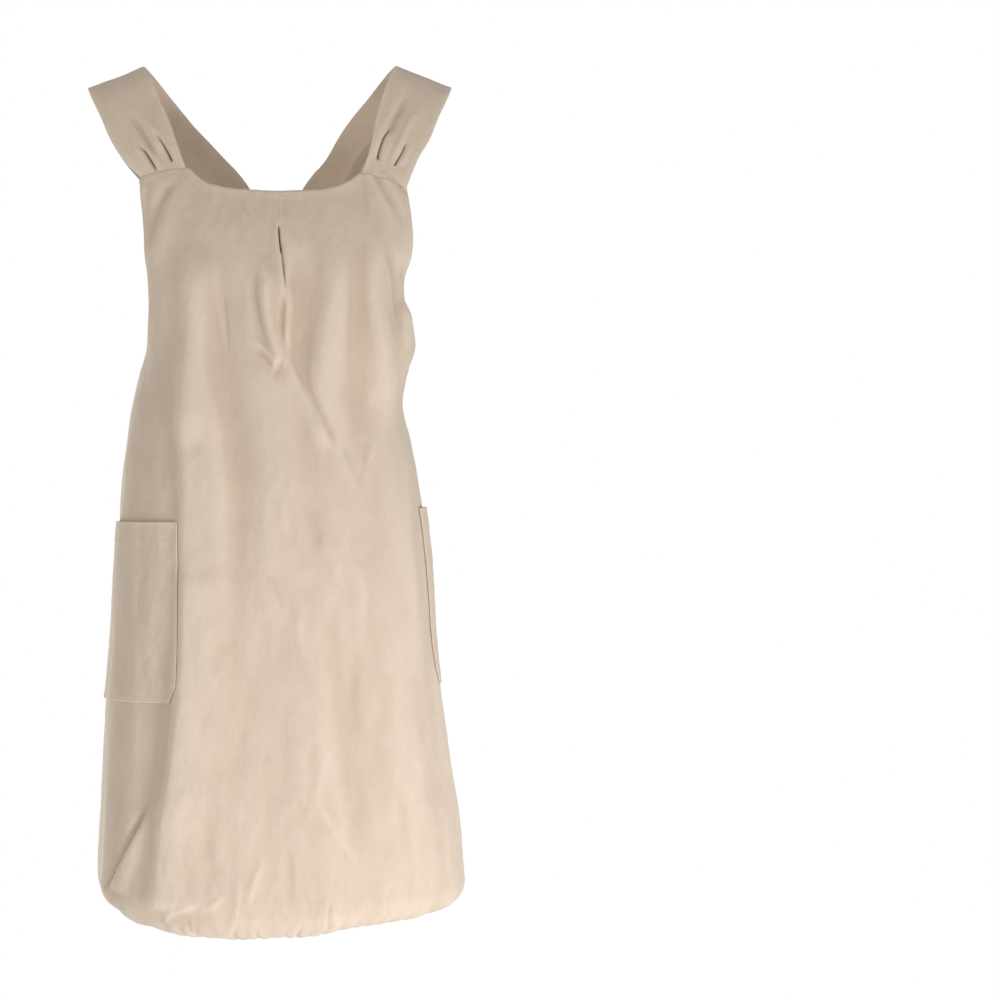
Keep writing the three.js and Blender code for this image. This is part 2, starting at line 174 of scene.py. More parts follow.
# The straps down the back to their wings, as seen going from the wearer's left to the right
OVER_STRAP_ROWS = Table(
    "row inner inner_down outer outer_down",
    (9, 0.288, 0.1, 0.644, 0.172),
    (10, 0.152, 0.138, 0.565, 0.22),
    (11, 0.062, 0.189, 0.46, 0.271),
    (12, -0.035, 0.239, 0.32, 0.332),
    (13, -0.175, 0.287, 0.155, 0.4),
    (14, -0.349, 0.327, -0.024, 0.465),
    (15, -0.508, 0.363, -0.252, 0.545),
    (16, -0.654, 0.385, -0.508, 0.626),
)
UNDER_STRAP_ROWS = Table(
    "row inner inner_down outer outer_down",
    (9, 0.287, 0.1, 0.63, 0.17),
    (10, 0.136, 0.138, 0.535, 0.209),
    (11, 0.05, 0.189, 0.4, 0.246),
    (12, -0.04, 0.243, 0.21, 0.291),
    (13, -0.14, 0.302, 0.02, 0.348),
    (14, -0.24, 0.357, -0.13, 0.41),
    (15, -0.37, 0.381, -0.17, 0.477),
    (16, -0.49, 0.389, -0.43, 0.557),
)


def ramp(value: Array, low: float, high: float) -> Array:
    """Rise smoothly from 0 at low to 1 at high."""
    t = np.clip((value - low) / (high - low), 0, 1)
    return t * t * (3 - 2 * t)


def step_down(value: Array, middle: float, soft: float) -> Array:
    """Fall smoothly from 1 to 0 where the value passes the middle, soft to each side."""
    return 1 - ramp(value, middle - soft, middle + soft)


def unit(vectors: Array) -> Array:
    """Turn vectors into directions."""
    return vectors / np.maximum(np.linalg.norm(vectors, axis=-1, keepdims=True), 1e-12)


def grid_lines(count: int, *peaks: tuple, samples: int = 4001) -> Array:
    """Lines from 0 to 1 that lie closer together near the peaks.

    Args:
        count: how many lines.
        peaks: (place, width, strength) of each peak.
        samples: how finely the density is added up.

    Returns:
        The lines' places.
    """
    at = np.linspace(0, 1, samples)
    density = np.ones_like(at)
    for place, width, strength in peaks:
        density += strength * np.exp(-(((at - place) / width) ** 2))
    total = np.concatenate([[0], np.cumsum((density[1:] + density[:-1]) / 2)])
    return np.interp(np.linspace(0, total[-1], count), total, at)


def rail(points: Array, place: Array) -> Array:
    """A smooth curve through points, read by the points' numbers.

    Args:
        points: the points, in order.
        place: numbers from 0 to the last point's, fractions being between two points.

    Returns:
        A point of the curve for each place.
    """
    ends = (2 * points[0] - points[1], 2 * points[-1] - points[-2])
    padded = np.concatenate([[ends[0]], points, [ends[1]]])
    i = np.clip(np.floor(place).astype(int), 0, len(points) - 2)
    t = (place - i)[:, None]
    p0, p1, p2, p3 = (padded[i + k] for k in range(4))
    gap = [np.maximum(np.linalg.norm(b - a, axis=1), 1e-9)[:, None] ** 0.5
           for a, b in ((p0, p1), (p1, p2), (p2, p3))]
    first = (p1 - p0) / gap[0] - (p2 - p0) / (gap[0] + gap[1]) + (p2 - p1) / gap[1]
    second = (p2 - p1) / gap[1] - (p3 - p1) / (gap[1] + gap[2]) + (p3 - p2) / gap[2]
    m1 = first * gap[1]
    m2 = second * gap[1]
    return (
        p1 + m1 * t + (3 * (p2 - p1) - 2 * m1 - m2) * t**2 + (2 * (p1 - p2) + m1 + m2) * t**3
    )


class Unevenness:
    """Smooth random unevenness in space, the same on each run."""

    CELLS = 32
    SHIFT = 100.0

    def __init__(self, seed: int) -> None:
        """Fill the lattice with seeded random heights."""
        self.lattice = np.random.default_rng(seed).uniform(-1, 1, (self.CELLS,) * 3)

    def at(self, points: Array, cell: tuple) -> Array:
        """Read heights between -1 and 1 at points, with a cell's size along x, y and z."""
        scaled = points / np.array(cell) + self.SHIFT
        base = np.floor(scaled).astype(int)
        t = scaled - base
        t = t**3 * (t * (t * 6 - 15) + 10)
        height = np.zeros(points.shape[:-1])
        for corner in np.ndindex(2, 2, 2):
            weight = np.where(corner, t, 1 - t).prod(axis=-1)
            i, j, k = np.moveaxis((base + corner) % self.CELLS, -1, 0)
            height += weight * self.lattice[i, j, k]
        return height


@dataclass(frozen=True)
class FrontCamera:
    """The camera that looks at the front, as the photograph was framed."""

    lens: float = 100.0
    sensor: float = 36.0
    picture: float = 1000.0
    distance: float = 3.188
    height: float = -0.4965
    # the apron stands 225 points to the left of the picture's middle
    turn: float = math.atan(225 / 2777.78)

    def seen(self, points: Array) -> Array:
        """Where points are in the picture, in its own points from the top left corner."""
        focal = self.lens / self.sensor * self.picture
        x = points[..., 0]
        y = points[..., 1] + self.distance
        right = x * math.cos(self.turn) - y * math.sin(self.turn)
        depth = x * math.sin(self.turn) + y * math.cos(self.turn)
        across = self.picture / 2 + focal * right / depth
        down = self.picture / 2 - focal * (points[..., 2] - self.height) / depth
        return np.stack([across, down], axis=-1)

    def place(self) -> None:
        """Add the camera to the scene."""
        data = bpy.data.cameras.new("front_camera")
        data.lens = self.lens
        data.sensor_width = self.sensor
        data.clip_start = 0.05
        data.clip_end = 60.0
        camera = link_object("front_camera", data)
        camera.location = (0.0, -self.distance, self.height)
        camera.rotation_euler = (math.pi / 2, 0.0, -self.turn)
        bpy.context.scene.camera = camera


@dataclass(frozen=True)
class Fold:
    """One fold along a path. Its two sides may be steep or gentle.

    path holds pairs of numbers, in points of the front picture, or for a fold of a strap behind
    the shoulder its place across, from 0 at the inner edge to 1 at the outer one, and its row.
    lift is in millimetres, a groove's being negative. near and far are the widths of the sides,
    in millimetres: near lies to the left of the path as it is seen going down the picture, and
    towards a strap's outer edge. start and end are the shares over which it dies away.
    """

    path: tuple
    lift: float
    near: float
    far: float
    start: float = 0.3
    end: float = 0.3

    def pairs(self) -> Array:
        """The points of the path."""
        return np.array(self.path, dtype=float).reshape(-1, 2)

    def at(self, places: Array, scale: float) -> Array:
        """How far the fold lifts each place.

        Args:
            places: (..., 2) places, in the units of the path.
            scale: millimetres in one of those units.

        Returns:
            The lift in metres.
        """
        pairs = self.pairs()
        line = rail(pairs, np.linspace(0, len(pairs) - 1, 25))
        lifts = np.zeros(places.shape[:-1])
        margin = 3.0 * max(self.near, self.far) / scale
        low = line.min(axis=0) - margin
        high = line.max(axis=0) + margin
        inside = ((places > low) & (places < high)).all(axis=-1)
        if not inside.any():
            return lifts
        here = places[inside]
        step = np.diff(line, axis=0)
        length = np.linalg.norm(step, axis=1)
        before = np.concatenate([[0], np.cumsum(length)])
        offset = here[:, None, :] - line[None, :-1]
        share = (offset * step[None]).sum(-1) / (length**2)[None]
        # the first and the last stretch run on beyond the path
        least = np.zeros(len(length))
        most = np.ones(len(length))
        least[0] = -9.0
        most[-1] = 10.0
        share = np.clip(share, least, most)
        away = offset - share[..., None] * step[None]
        distance = np.linalg.norm(away, axis=-1)
        best = distance.argmin(axis=1)
        pick = (np.arange(len(here)), best)
        side = step[best, 0] * away[pick][:, 1] - step[best, 1] * away[pick][:, 0]
        width = np.where(side > 0, self.near, self.far)
        along = (before[best] + share[pick] * length[best]) / before[-1]
        taper = ramp(along, -self.start * 0.5, self.start)
        taper *= ramp(1 - along, -self.end * 0.5, self.end)
        lifts[inside] = self.lift * MM * taper * np.exp(-((distance[pick] * scale / width) ** 2))
        return lifts


def folds(*rows: tuple) -> tuple:
    """Make a fold of each row."""
    return tuple(Fold(*row) for row in rows)


def lift_of(group: tuple, places: Array, scale: float) -> Array:
    """Add up the lifts of several folds."""
    return sum((fold.at(places, scale) for fold in group), np.zeros(places.shape[:-1]))


@dataclass
class BodyForm:
    """The shape that the apron hangs round, and the apron's driving sizes."""

    height: float = 0.978
    hem_half_width: float = 0.212
    hem_front_depth: float = 0.142
    hem_back_depth: float = 0.125
    squareness: float = 2.35
    shoulder_half_span: float = 0.2065
    shoulder_depth: float = 0.08
    shoulder_shift: float = -0.005

    def half_width(self, down: Array, side: Array) -> Array:
        """Half width at a height, on the side that the sign of side names."""
        right = BODY_ROWS.at(down, "to_right")
        left = BODY_ROWS.at(down, "to_left")
        return np.where(side < 0, right, left) * self.hem_half_width

    def half_depth(self, down: Array, behind: Array) -> Array:
        """Depth at a height, at the front or the back."""
        front = BODY_ROWS.at(down, "front") * self.hem_front_depth
        back = BODY_ROWS.at(down, "back") * self.hem_back_depth
        return np.where(behind < 0, front, back)

    def point(self, angle: Array, z: Array, inset: Array = 0.0) -> Array:
        """A point of the body.

        Args:
            angle: radians from the middle of the front, positive to the wearer's left.
            z: the height.
            inset: how far inside the body the point lies.

        Returns:
            (..., 3) points.
        """
        down = -z / self.height
        side = np.sin(angle)
        behind = -np.cos(angle)
        power = self.squareness
        reach = (
            (np.abs(side) / self.half_width(down, side)) ** power
            + (np.abs(behind) / self.half_depth(down, behind)) ** power
        ) ** (-1 / power) - inset
        return np.stack([reach * side, reach * behind, z + 0 * angle], axis=-1)

    def behind(self, x: Array, z: Array) -> Array:
        """The points of the back that lie straight behind x."""
        down = -z / self.height
        share = np.minimum(np.abs(x) / self.half_width(down, x), 1)
        power = self.squareness
        y = self.half_depth(down, np.ones_like(x)) * (1 - share**power) ** (1 / power)
        return np.stack([x, y, z], axis=-1)

    def edge_angle(self, down: Array, side: int) -> Array:
        """Angle of the panel's edge, on the wearer's right (-1) or left (1)."""
        return side * np.radians(EDGE_ROWS.at(down, "to_right" if side < 0 else "to_left"))

    def panel_angle(self, s: Array, down: Array) -> Array:
        """The panel's angle at s, from 0 at its right edge to 1 at its left one."""
        return self.edge_angle(down, -1) * (1 - s) + self.edge_angle(down, 1) * s

    def top_down(self, s: Array) -> Array:
        """The panel's top edge at s, as a share of the height."""
        return NECK_ROWS.at(2 * s - 1, "down")


@dataclass
class Sheet:
    """A grid of points with its flat places and its hem mark, which lightens its edges and carries painted
    highlight on ridges and painted shade in creases.

    Rows run along the cloth and columns across it, and the right side of the cloth is towards
    the cross product of across and along.
    """

    points: Array
    flat: Array = None
    hem: Array = None

    def normals(self) -> Array:
        """The direction out of the cloth at each point."""
        across = np.gradient(self.points, axis=1)
        along = np.gradient(self.points, axis=0)
        return unit(np.cross(across, along))

    def lifted(self, lift: Array) -> "Sheet":
        """The same sheet, moved out along its own direction."""
        return Sheet(self.points + self.normals() * lift[..., None], self.flat, self.hem)

    def lengths(self, axis: int) -> Array:
        """How far each point is from the first row (axis 0) or column (1), along the cloth."""
        steps = np.linalg.norm(np.diff(self.points, axis=axis), axis=-1)
        start = np.zeros_like(np.take(steps, [0], axis))
        return np.concatenate([start, np.cumsum(steps, axis=axis)], axis=axis)

    def measure(self) -> None:
        """Give each point its place on the flat cloth, from the lengths along the grid."""
        u = self.lengths(1)
        u -= u[:, u.shape[1] // 2, None]
        v = self.lengths(0).mean(axis=1, keepdims=True) + 0 * u
        self.flat = np.stack([u, v], axis=-1)

    def ridge_and_crease_shading(self, lift: Array, full_shade_height: float = 0.0011, spread: int = 26) -> Array:
        """How far each point stands above the cloth round it: 1 on ridges, -1 in creases, for the painted
        highlight on ridges and the painted shade in creases.
        """
        around = lift.copy()
        for _ in range(spread):
            for axis in (0, 1):
                ends = np.take(around, [0], axis), np.take(around, [-1], axis)
                wide = np.concatenate([ends[0], around, ends[1]], axis)
                around = (np.delete(wide, [0, 1], axis) + np.delete(wide, [-1, -2], axis)) / 2
        return np.tanh((lift - around) / full_shade_height)

    def to_edges(self) -> dict:
        """Distance of each point from each of the four edges, along the cloth."""
        across = self.lengths(1)
        along = self.lengths(0)
        return {
            "start": across,
            "end": across[:, -1:] - across,
            "low": along,
            "high": along[-1:] - along,
        }

    def line_at(self, edge: str, distance: float, out: Array) -> tuple:
        """The line that runs along one edge at a distance from it.

        Args:
            edge: start, end, low or high.
            distance: how far from the edge, along the cloth.
            out: how far off the sheet the line lies, for each point of the grid.

        Returns:
            The line's points and the directions out of the cloth there.
        """
        gaps = self.to_edges()[edge]
        normals = self.normals()
        values = np.concatenate([self.points + normals * out[..., None], normals], axis=-1)
        if edge in ("low", "high"):
            gaps = gaps.T
            values = values.transpose(1, 0, 2)
        line = []
        for gap, value in zip(gaps, values):
            order = slice(None) if gap[0] < gap[-1] else slice(None, None, -1)
            line.append([np.interp(distance, gap[order], column) for column in value[order].T])
        line = np.array(line)
        return line[:, :3], line[:, 3:]


def link_object(name: str, data: ID) -> Object:
    """Put a mesh, light or camera in the scene as an object at the origin."""
    made = bpy.data.objects.new(name, data)
    bpy.context.scene.collection.objects.link(made)
    return made


def new_piece(name: str, vertices: Array, faces: list) -> Object:
    """Make a smooth piece of vertices and faces."""
    mesh = bpy.data.meshes.new(name)
    mesh.from_pydata(vertices.tolist(), [], faces)
    mesh.polygons.foreach_set("use_smooth", np.ones(len(faces), dtype=bool))
    mesh.update()
    return link_object(name, mesh)


def sew(
    name: str, sheet: Sheet, outer: Array, inner: Array, painted_inside_shade: float = 1.0
) -> Object:
    """Make the closed cloth whose middle is the sheet, with rounded edges.

    Args:
        name: the piece's name.
        sheet: its middle, measured.
        outer: thickness outside the middle, for each point.
        inner: thickness inside it.
        painted_inside_shade: how strongly the painted shade darkens its inside, against its outside.

    Returns:
        The piece, with its flat places as the UV map, and its hem and inside marks as attributes, which
        carry painted highlight and painted shade.
    """
    rows, columns = sheet.points.shape[:2]
    count = rows * columns
    out = sheet.normals()
    number = np.arange(count).reshape(rows, columns)
    border = np.concatenate([number[0, :-1], number[:-1, -1], number[-1, :0:-1], number[:0:-1, 0]])
    middle = sheet.points.reshape(-1, 3)[border]
    normal = out.reshape(-1, 3)[border]
    sideways = unit(np.cross(np.roll(middle, -1, axis=0) - np.roll(middle, 1, axis=0), normal))
    half = ((outer + inner) / 2).reshape(-1)[border][:, None]
    offset = ((outer - inner) / 2).reshape(-1)[border][:, None]
    layers = [sheet.points + out * outer[..., None], sheet.points - out * inner[..., None]]
    rim_points = middle + normal * offset + sideways * half * EDGE_ROUNDING
    vertices = np.concatenate([layer.reshape(-1, 3) for layer in layers] + [rim_points])
    corners = (number[:-1, :-1], number[:-1, 1:], number[1:, 1:], number[1:, :-1])
    a, b, c, d = (corner.ravel() for corner in corners)
    rim = 2 * count + np.arange(len(border))
    next_rim = np.roll(rim, -1)
    next_border = np.roll(border, -1)
    quads = (
        (a, b, c, d),
        (a + count, d + count, c + count, b + count),
        (border, rim, next_rim, next_border),
        (rim, border + count, next_border + count, next_rim),
    )
    faces = np.concatenate([np.stack(quad, axis=1) for quad in quads])
    piece = new_piece(name, vertices, faces.tolist())
    flat = sheet.flat.reshape(-1, 2)
    flat = np.concatenate([flat, flat, flat[border]])
    weave = piece.data.uv_layers.new(name="weave")
    weave.data.foreach_set("uv", flat[faces.ravel()].astype(np.float32).ravel())
    # the hem mark: lighter along the edges, with painted highlight on ridges and painted shade in creases
    hem = sheet.hem.reshape(-1)
    hem = np.concatenate([hem, hem, hem[border]])
    # the inside mark, scaled by the strength of the painted shade on the inside of the cloth
    inside = np.concatenate([np.zeros(count), np.ones(count), np.full(len(border), 0.5)]) * painted_inside_shade
    for mark_name, values in (("hem", hem), ("inside", inside)):
        mark = piece.data.attributes.new(mark_name, "FLOAT", "POINT")
        mark.data.foreach_set("value", values.astype(np.float32))
    return piece


# Folds of the front, by their places in the picture
BIB_FOLDS = folds(
    # the crease from the neckline, and the pleat that opens below it
    ((281, 193, 280.5, 210, 279.5, 228), 0.7, 1.2, 1.6, 0.05, 0.3),
    ((278.4, 226, 279.2, 238, 280.8, 252), -9.5, 1.1, 1.4, 0.14, 0.1),
    ((280.4, 246, 282.4, 262, 285.2, 289), -4.2, 0.9, 1.5, 0.1, 0.25),
    ((276.5, 224, 277.4, 244, 280.6, 268, 285.8, 296), 2, 5.5, 2, 0.25, 0.2),
    ((284.5, 232, 286.5, 250, 290, 272), 1.3, 2.6, 7, 0.3, 0.4),
    ((288, 262, 286.5, 280), 0.9, 2, 2.2),
    # small creases under the neckline
    ((240, 200, 244, 208, 250, 214), -0.9, 1.8, 2.6, 0.2, 0.2),
    ((253, 206, 257, 212, 262, 216), -0.8, 1.6, 2.4, 0.2, 0.2),
    ((236, 196, 241, 210, 246, 222), 0.6, 5, 3, 0.2, 0.2),
    # gathers that fan out from the straps' seams
    ((172, 183, 163, 198, 155, 216, 150, 242), -3.4, 4.6, 5, 0.1, 0.35),
    ((145, 196, 144, 220, 146, 250), -2.4, 7, 9, 0.3, 0.4),
    ((180, 184, 173, 202, 166, 226, 162, 256), 1.6, 6.5, 14, 0.15, 0.4),
    ((160, 178, 156, 190, 151, 202), 0.7, 3, 3.5, 0.05, 0.5),
    ((151, 180, 148, 192, 145, 204), -0.9, 2.6, 2.6, 0.05, 0.5),
    ((184, 178, 186, 196, 188, 214), 0.8, 4, 6, 0.1, 0.6),
    ((366, 172, 371, 180, 378, 194, 388, 214), 1.9, 2.6, 3.6, 0.1, 0.5),
    ((375, 174, 380, 183, 387, 196, 395, 212), -2.3, 2.2, 2.6, 0.1, 0.45),
    ((381, 172, 388, 182, 396, 197, 402, 214), 2.4, 2.6, 3.2, 0.1, 0.4),
    ((389, 172, 395, 180, 402, 188, 406, 194), -2.6, 1.6, 1.8, 0.1, 0.2),
    ((364, 178, 365, 194, 369, 214), -1, 4, 3, 0.1, 0.5),
)
BUST_FOLDS = folds(
    # the fold that hangs from the right of the bust, and the hollow beside it
    ((193, 256, 194, 300, 194, 340, 190, 380, 188, 440), 8.4, 14, 20, 0.2, 0.15),
    ((222, 272, 217, 318, 216, 350, 222, 385, 229, 415, 235, 460, 238, 510, 240, 570),
     -9.6, 13, 27, 0.2, 0.45),
    ((215, 262, 217, 300, 222, 345), 2.2, 5, 5),
    ((221, 286, 223.5, 312, 227, 350), -1.9, 2.4, 2, 0.35, 0.4),
    # the forked wrinkle below the pleat
    ((263, 266, 265, 300, 269, 328, 276, 352, 279, 366), 7.6, 6, 8, 0.25, 0.1),
    ((254, 274, 256, 300, 261, 326, 267, 346), -3.2, 5, 3.4, 0.3, 0.35),
    ((252, 340, 262, 346, 271, 357, 276, 367), 3, 4, 2.4, 0.3, 0.12),
    ((257, 349, 265, 356, 272, 366), -2.8, 2.4, 2.4),
    ((283, 352, 279, 366, 274, 376), -2.5, 2.6, 3.4, 0.3, 0.4),
    ((283, 296, 282, 330, 284, 350), -3.6, 3, 3.5),
    ((291, 284, 289, 312, 285, 345), 3.6, 4.5, 6, 0.25, 0.35),
    # folds from the left of the bust
    ((296, 260, 297, 300, 298, 340, 304, 375), -9.4, 9, 20, 0.3, 0.35),
    ((336, 250, 333, 295, 324, 338, 320, 372, 321, 410, 324, 450), 8.4, 12, 20, 0.2, 0.3),
    ((286, 356, 297, 380, 309, 408, 327, 443), 4.2, 13, 3.4, 0.3, 0.22),
    ((303, 370, 313, 398, 327, 430, 333, 444), -3.6, 2.4, 4.5, 0.25, 0.2),
    ((354, 262, 356, 320, 357, 380, 361, 440), -6.2, 11, 11, 0.3, 0.35),
    ((371, 240, 370, 290, 377, 330, 382, 370, 383, 430), 7.8, 6, 13, 0.15, 0.35),
    ((388, 248, 394, 276, 397, 300, 399, 324), -6.4, 3, 4.4),
    ((404, 262, 405, 288, 405, 312), -4.8, 6, 9),
    ((404, 304, 407, 324, 406, 346), 2.5, 4, 6),
    # small creases at the waist
    ((334, 432, 346, 462, 361, 488), 1, 7, 3.2, 0.2, 0.25),
    ((340, 444, 351, 468, 363, 492), -1.7, 2.6, 4, 0.25, 0.25),
    ((366, 438, 364, 456, 359, 482), -1.7, 2.2, 3.4, 0.2, 0.3),
    ((376, 436, 372, 452, 366, 466), 0.9, 2.4, 3.6, 0.3, 0.4),
)
SKIRT_FOLDS = folds(
    # where the skirt turns from its front to its side
    ((191, 372, 189, 430, 190, 500, 190, 570), 11, 13, 44, 0.35, 0.1),
    ((190, 560, 188, 640, 183, 710, 175, 780, 168, 830), 15, 11, 46, 0.1, 0.35),
    ((175, 780, 168, 830, 162, 880, 158, 912), 9, 16, 46, 0.35, 0.1),
    # the broad fold down the middle
    ((272, 366, 266, 400, 263, 440, 262, 520, 264, 610), 4.2, 28, 34, 0.15, 0.4),
    ((300, 448, 312, 500, 318, 560), -1.6, 14, 14, 0.4, 0.4),
    ((336, 620, 342, 700, 350, 780, 354, 850), -6, 14, 34, 0.35, 0.35),
    ((398, 640, 398, 710, 400, 780, 404, 850), 2.6, 11, 18, 0.3, 0.35),
    ((405, 520, 414, 600, 428, 700, 440, 790), 2.4, 12, 12),
    ((250, 650, 246, 720, 240, 800), -1.6, 18, 18, 0.4, 0.4),
    ((314, 800, 328, 820, 344, 842, 360, 872), 1.8, 4, 3, 0.3, 0.4),
    ((206, 812, 208, 850, 214, 888), -1.6, 9, 9, 0.4, 0.3),
    ((262, 860, 254, 884, 246, 906), 1.6, 5, 4),
    ((286, 850, 290, 880, 288, 910), -1.4, 6, 6),
    # small crumples of the skirt
    ((300, 500, 312, 522, 318, 548), -1.5, 5, 6, 0.4, 0.4),
    ((322, 540, 334, 556, 340, 578), 1.5, 5, 4, 0.4, 0.4),
    ((262, 572, 274, 586, 282, 606), -1.5, 4, 5, 0.4, 0.4),
    ((352, 560, 362, 590, 360, 622), 1.6, 6, 5, 0.4, 0.4),
    ((304, 604, 298, 630, 306, 660), 1.3, 6, 7, 0.4, 0.4),
    ((358, 650, 352, 690, 356, 736), -2, 8, 7, 0.4, 0.4),
    ((318, 720, 322, 760, 314, 800), 1.5, 7, 6, 0.4, 0.4),
    ((392, 770, 402, 810, 404, 850), -1.6, 6, 7, 0.4, 0.4),
    # the side of the hem, tucked behind the front
    ((154, 800, 144, 821, 129, 851, 110, 888), 3, 2.6, 15, 0.3, 0.05),
    ((146, 808, 139.5, 822, 124, 852, 105.5, 888), -8, 2.7, 2, 0.3, 0.12),
    # the loops of the hem's gathers
    ((166, 924, 169, 917, 181, 912, 198, 906), 2.6, 1.5, 6, 0.15, 0.4),
    ((183, 917, 187, 924, 190, 932), -2, 1.6, 2, 0.2, 0.1),
    ((205, 911, 215, 905, 224, 897), 1.2, 2, 4, 0.3, 0.4),
    ((240, 880, 238, 905, 231, 935), 1.2, 5, 2.6, 0.4, 0.1),
    ((330, 902, 328, 918, 330, 934), -1.6, 1.6, 2.4, 0.3, 0.1),
    ((392, 886, 388, 900, 388, 914), -1.4, 2, 2.6, 0.3, 0.1),
)

# The gathers of the hem. angle: degrees round the body; depth, width, reach: millimetres;
# lean: how far a gather's top end drifts to the wearer's left, millimetres
GATHERS = Table(
    "angle depth width reach lean",
    (-92, 1.4, 8, 34, -5),
    (-80, 1.1, 6, 28, 4),
    (-68, 1.4, 8, 36, -6),
    (-56, 1.0, 5, 24, 4),
    (-47, 1.6, 4, 24, 8),
    (-41, 2.2, 3, 20, 12),
    (-35, 1.8, 3, 18, 9),
    (-27, 1, 5, 32, -4),
    (-18.9, 2.4, 2.6, 16, 5),
    (-13, 0.9, 4, 40, 6),
    (-8.5, 2.2, 2.8, 14, -4),
    (-1, 0.8, 5, 42, -5),
    (5, 1.1, 4, 22, 5),
    (11, 2.2, 2.8, 15, 4),
    (17, 0.8, 5, 44, -6),
    (23.3, 2.2, 2.6, 20, 3),
    (30, 0.9, 5, 40, -6),
    (36.5, 1.2, 4, 24, 5),
    (41, 1.7, 3, 20, 5),
    (45.5, 2.2, 2.8, 18, 6),
    (50, 1.5, 3.4, 24, -4),
    (56, 1.3, 4, 24, 4),
    (64, 1.1, 6, 32, -4),
    (76, 1.5, 7, 38, 5),
    (89, 1.2, 6, 30, -4),
    (101, 1.5, 7, 38, 5),
    (110, 1.2, 6, 28, -4),
)


@dataclass
class ClothRelief:
    """The folds and the unevenness of the cloth that hangs round the body.

    front, lower and beside are the stretches over which the named folds begin, and over which
    the cloth grows more uneven down the skirt and towards its sides. hanging, broad, small,
    crumples and fine are the sizes of the unevenness along x, y and z.
    """

    camera: FrontCamera
    picture_scale: float = 1.11
    front: tuple = (-0.02, 0.02)
    lower: tuple = (0.15, 0.5)
    beside: tuple = (-0.09, -0.01)
    hanging: tuple = (0.034, 0.034, 0.19)
    broad: tuple = (0.055, 0.055, 0.3)
    small: tuple = (0.017, 0.017, 0.06)
    crumples: tuple = (0.0095, 0.0095, 0.02)
    fine: tuple = (0.0045, 0.0045, 0.007)
    drape: Unevenness = field(default_factory=lambda: Unevenness(11))
    crumple: Unevenness = field(default_factory=lambda: Unevenness(23))

    def folds_at(self, points: Array) -> Array:
        """The lift of the named folds, which lie on the front alone."""
        places = self.camera.seen(points)
        lift = lift_of(BIB_FOLDS + BUST_FOLDS + SKIRT_FOLDS, places, self.picture_scale)
        return lift * ramp(-points[..., 1], *self.front)

    def unevenness_at(self, points: Array) -> Array:
        """The soft drape and the small crumples of washed linen."""
        lower = ramp(-points[..., 2], *self.lower)
        beside = ramp(points[..., 1], *self.beside)
        lift = (0.5 + 1.1 * lower + 1.4 * beside) * self.drape.at(points, self.hanging)
        lift += 2.0 * beside * self.drape.at(points + 1.7, self.broad)
        lift += 0.65 * self.drape.at(points + 3.0, self.small)
        lift += 0.4 * self.crumple.at(points, self.crumples)
        lift += 0.1 * self.crumple.at(points + 5.0, self.fine)
        return lift * MM

    def at(self, points: Array) -> Array:
        """The whole lift at points of the body."""
        return self.folds_at(points) + self.unevenness_at(points)


class Layer(Enum):
    """How many layers of cloth a piece is made of, and how thick that is in millimetres."""

    SINGLE = 1.1
    DOUBLE = 1.7

    def half(self) -> float:
        """Half the thickness, in metres."""
        return self.value * MM / 2


@dataclass(frozen=True)
class ClothFacts:
    """What a cloth is called, the node that it stands for, and its size when laid flat."""

    name: str
    node: str
    flat: tuple
    area: float = None


@dataclass
class ClothMaker:
    """What every maker of a cloth is given, and what it keeps of the cloth for its stitches."""

    facts: ClothFacts
    body: BodyForm
    relief: ClothRelief
    sheet: Sheet = field(init=False, default=None)
    outer: Array = field(init=False, default=None)

    def line(self, edge: str, distance: float, shown: object = slice(None)) -> tuple:
        """The shown part of a line along an edge, and the directions out of the cloth there."""
        points, out = self.sheet.line_at(edge, distance, self.outer)
        return points[shown], out[shown]


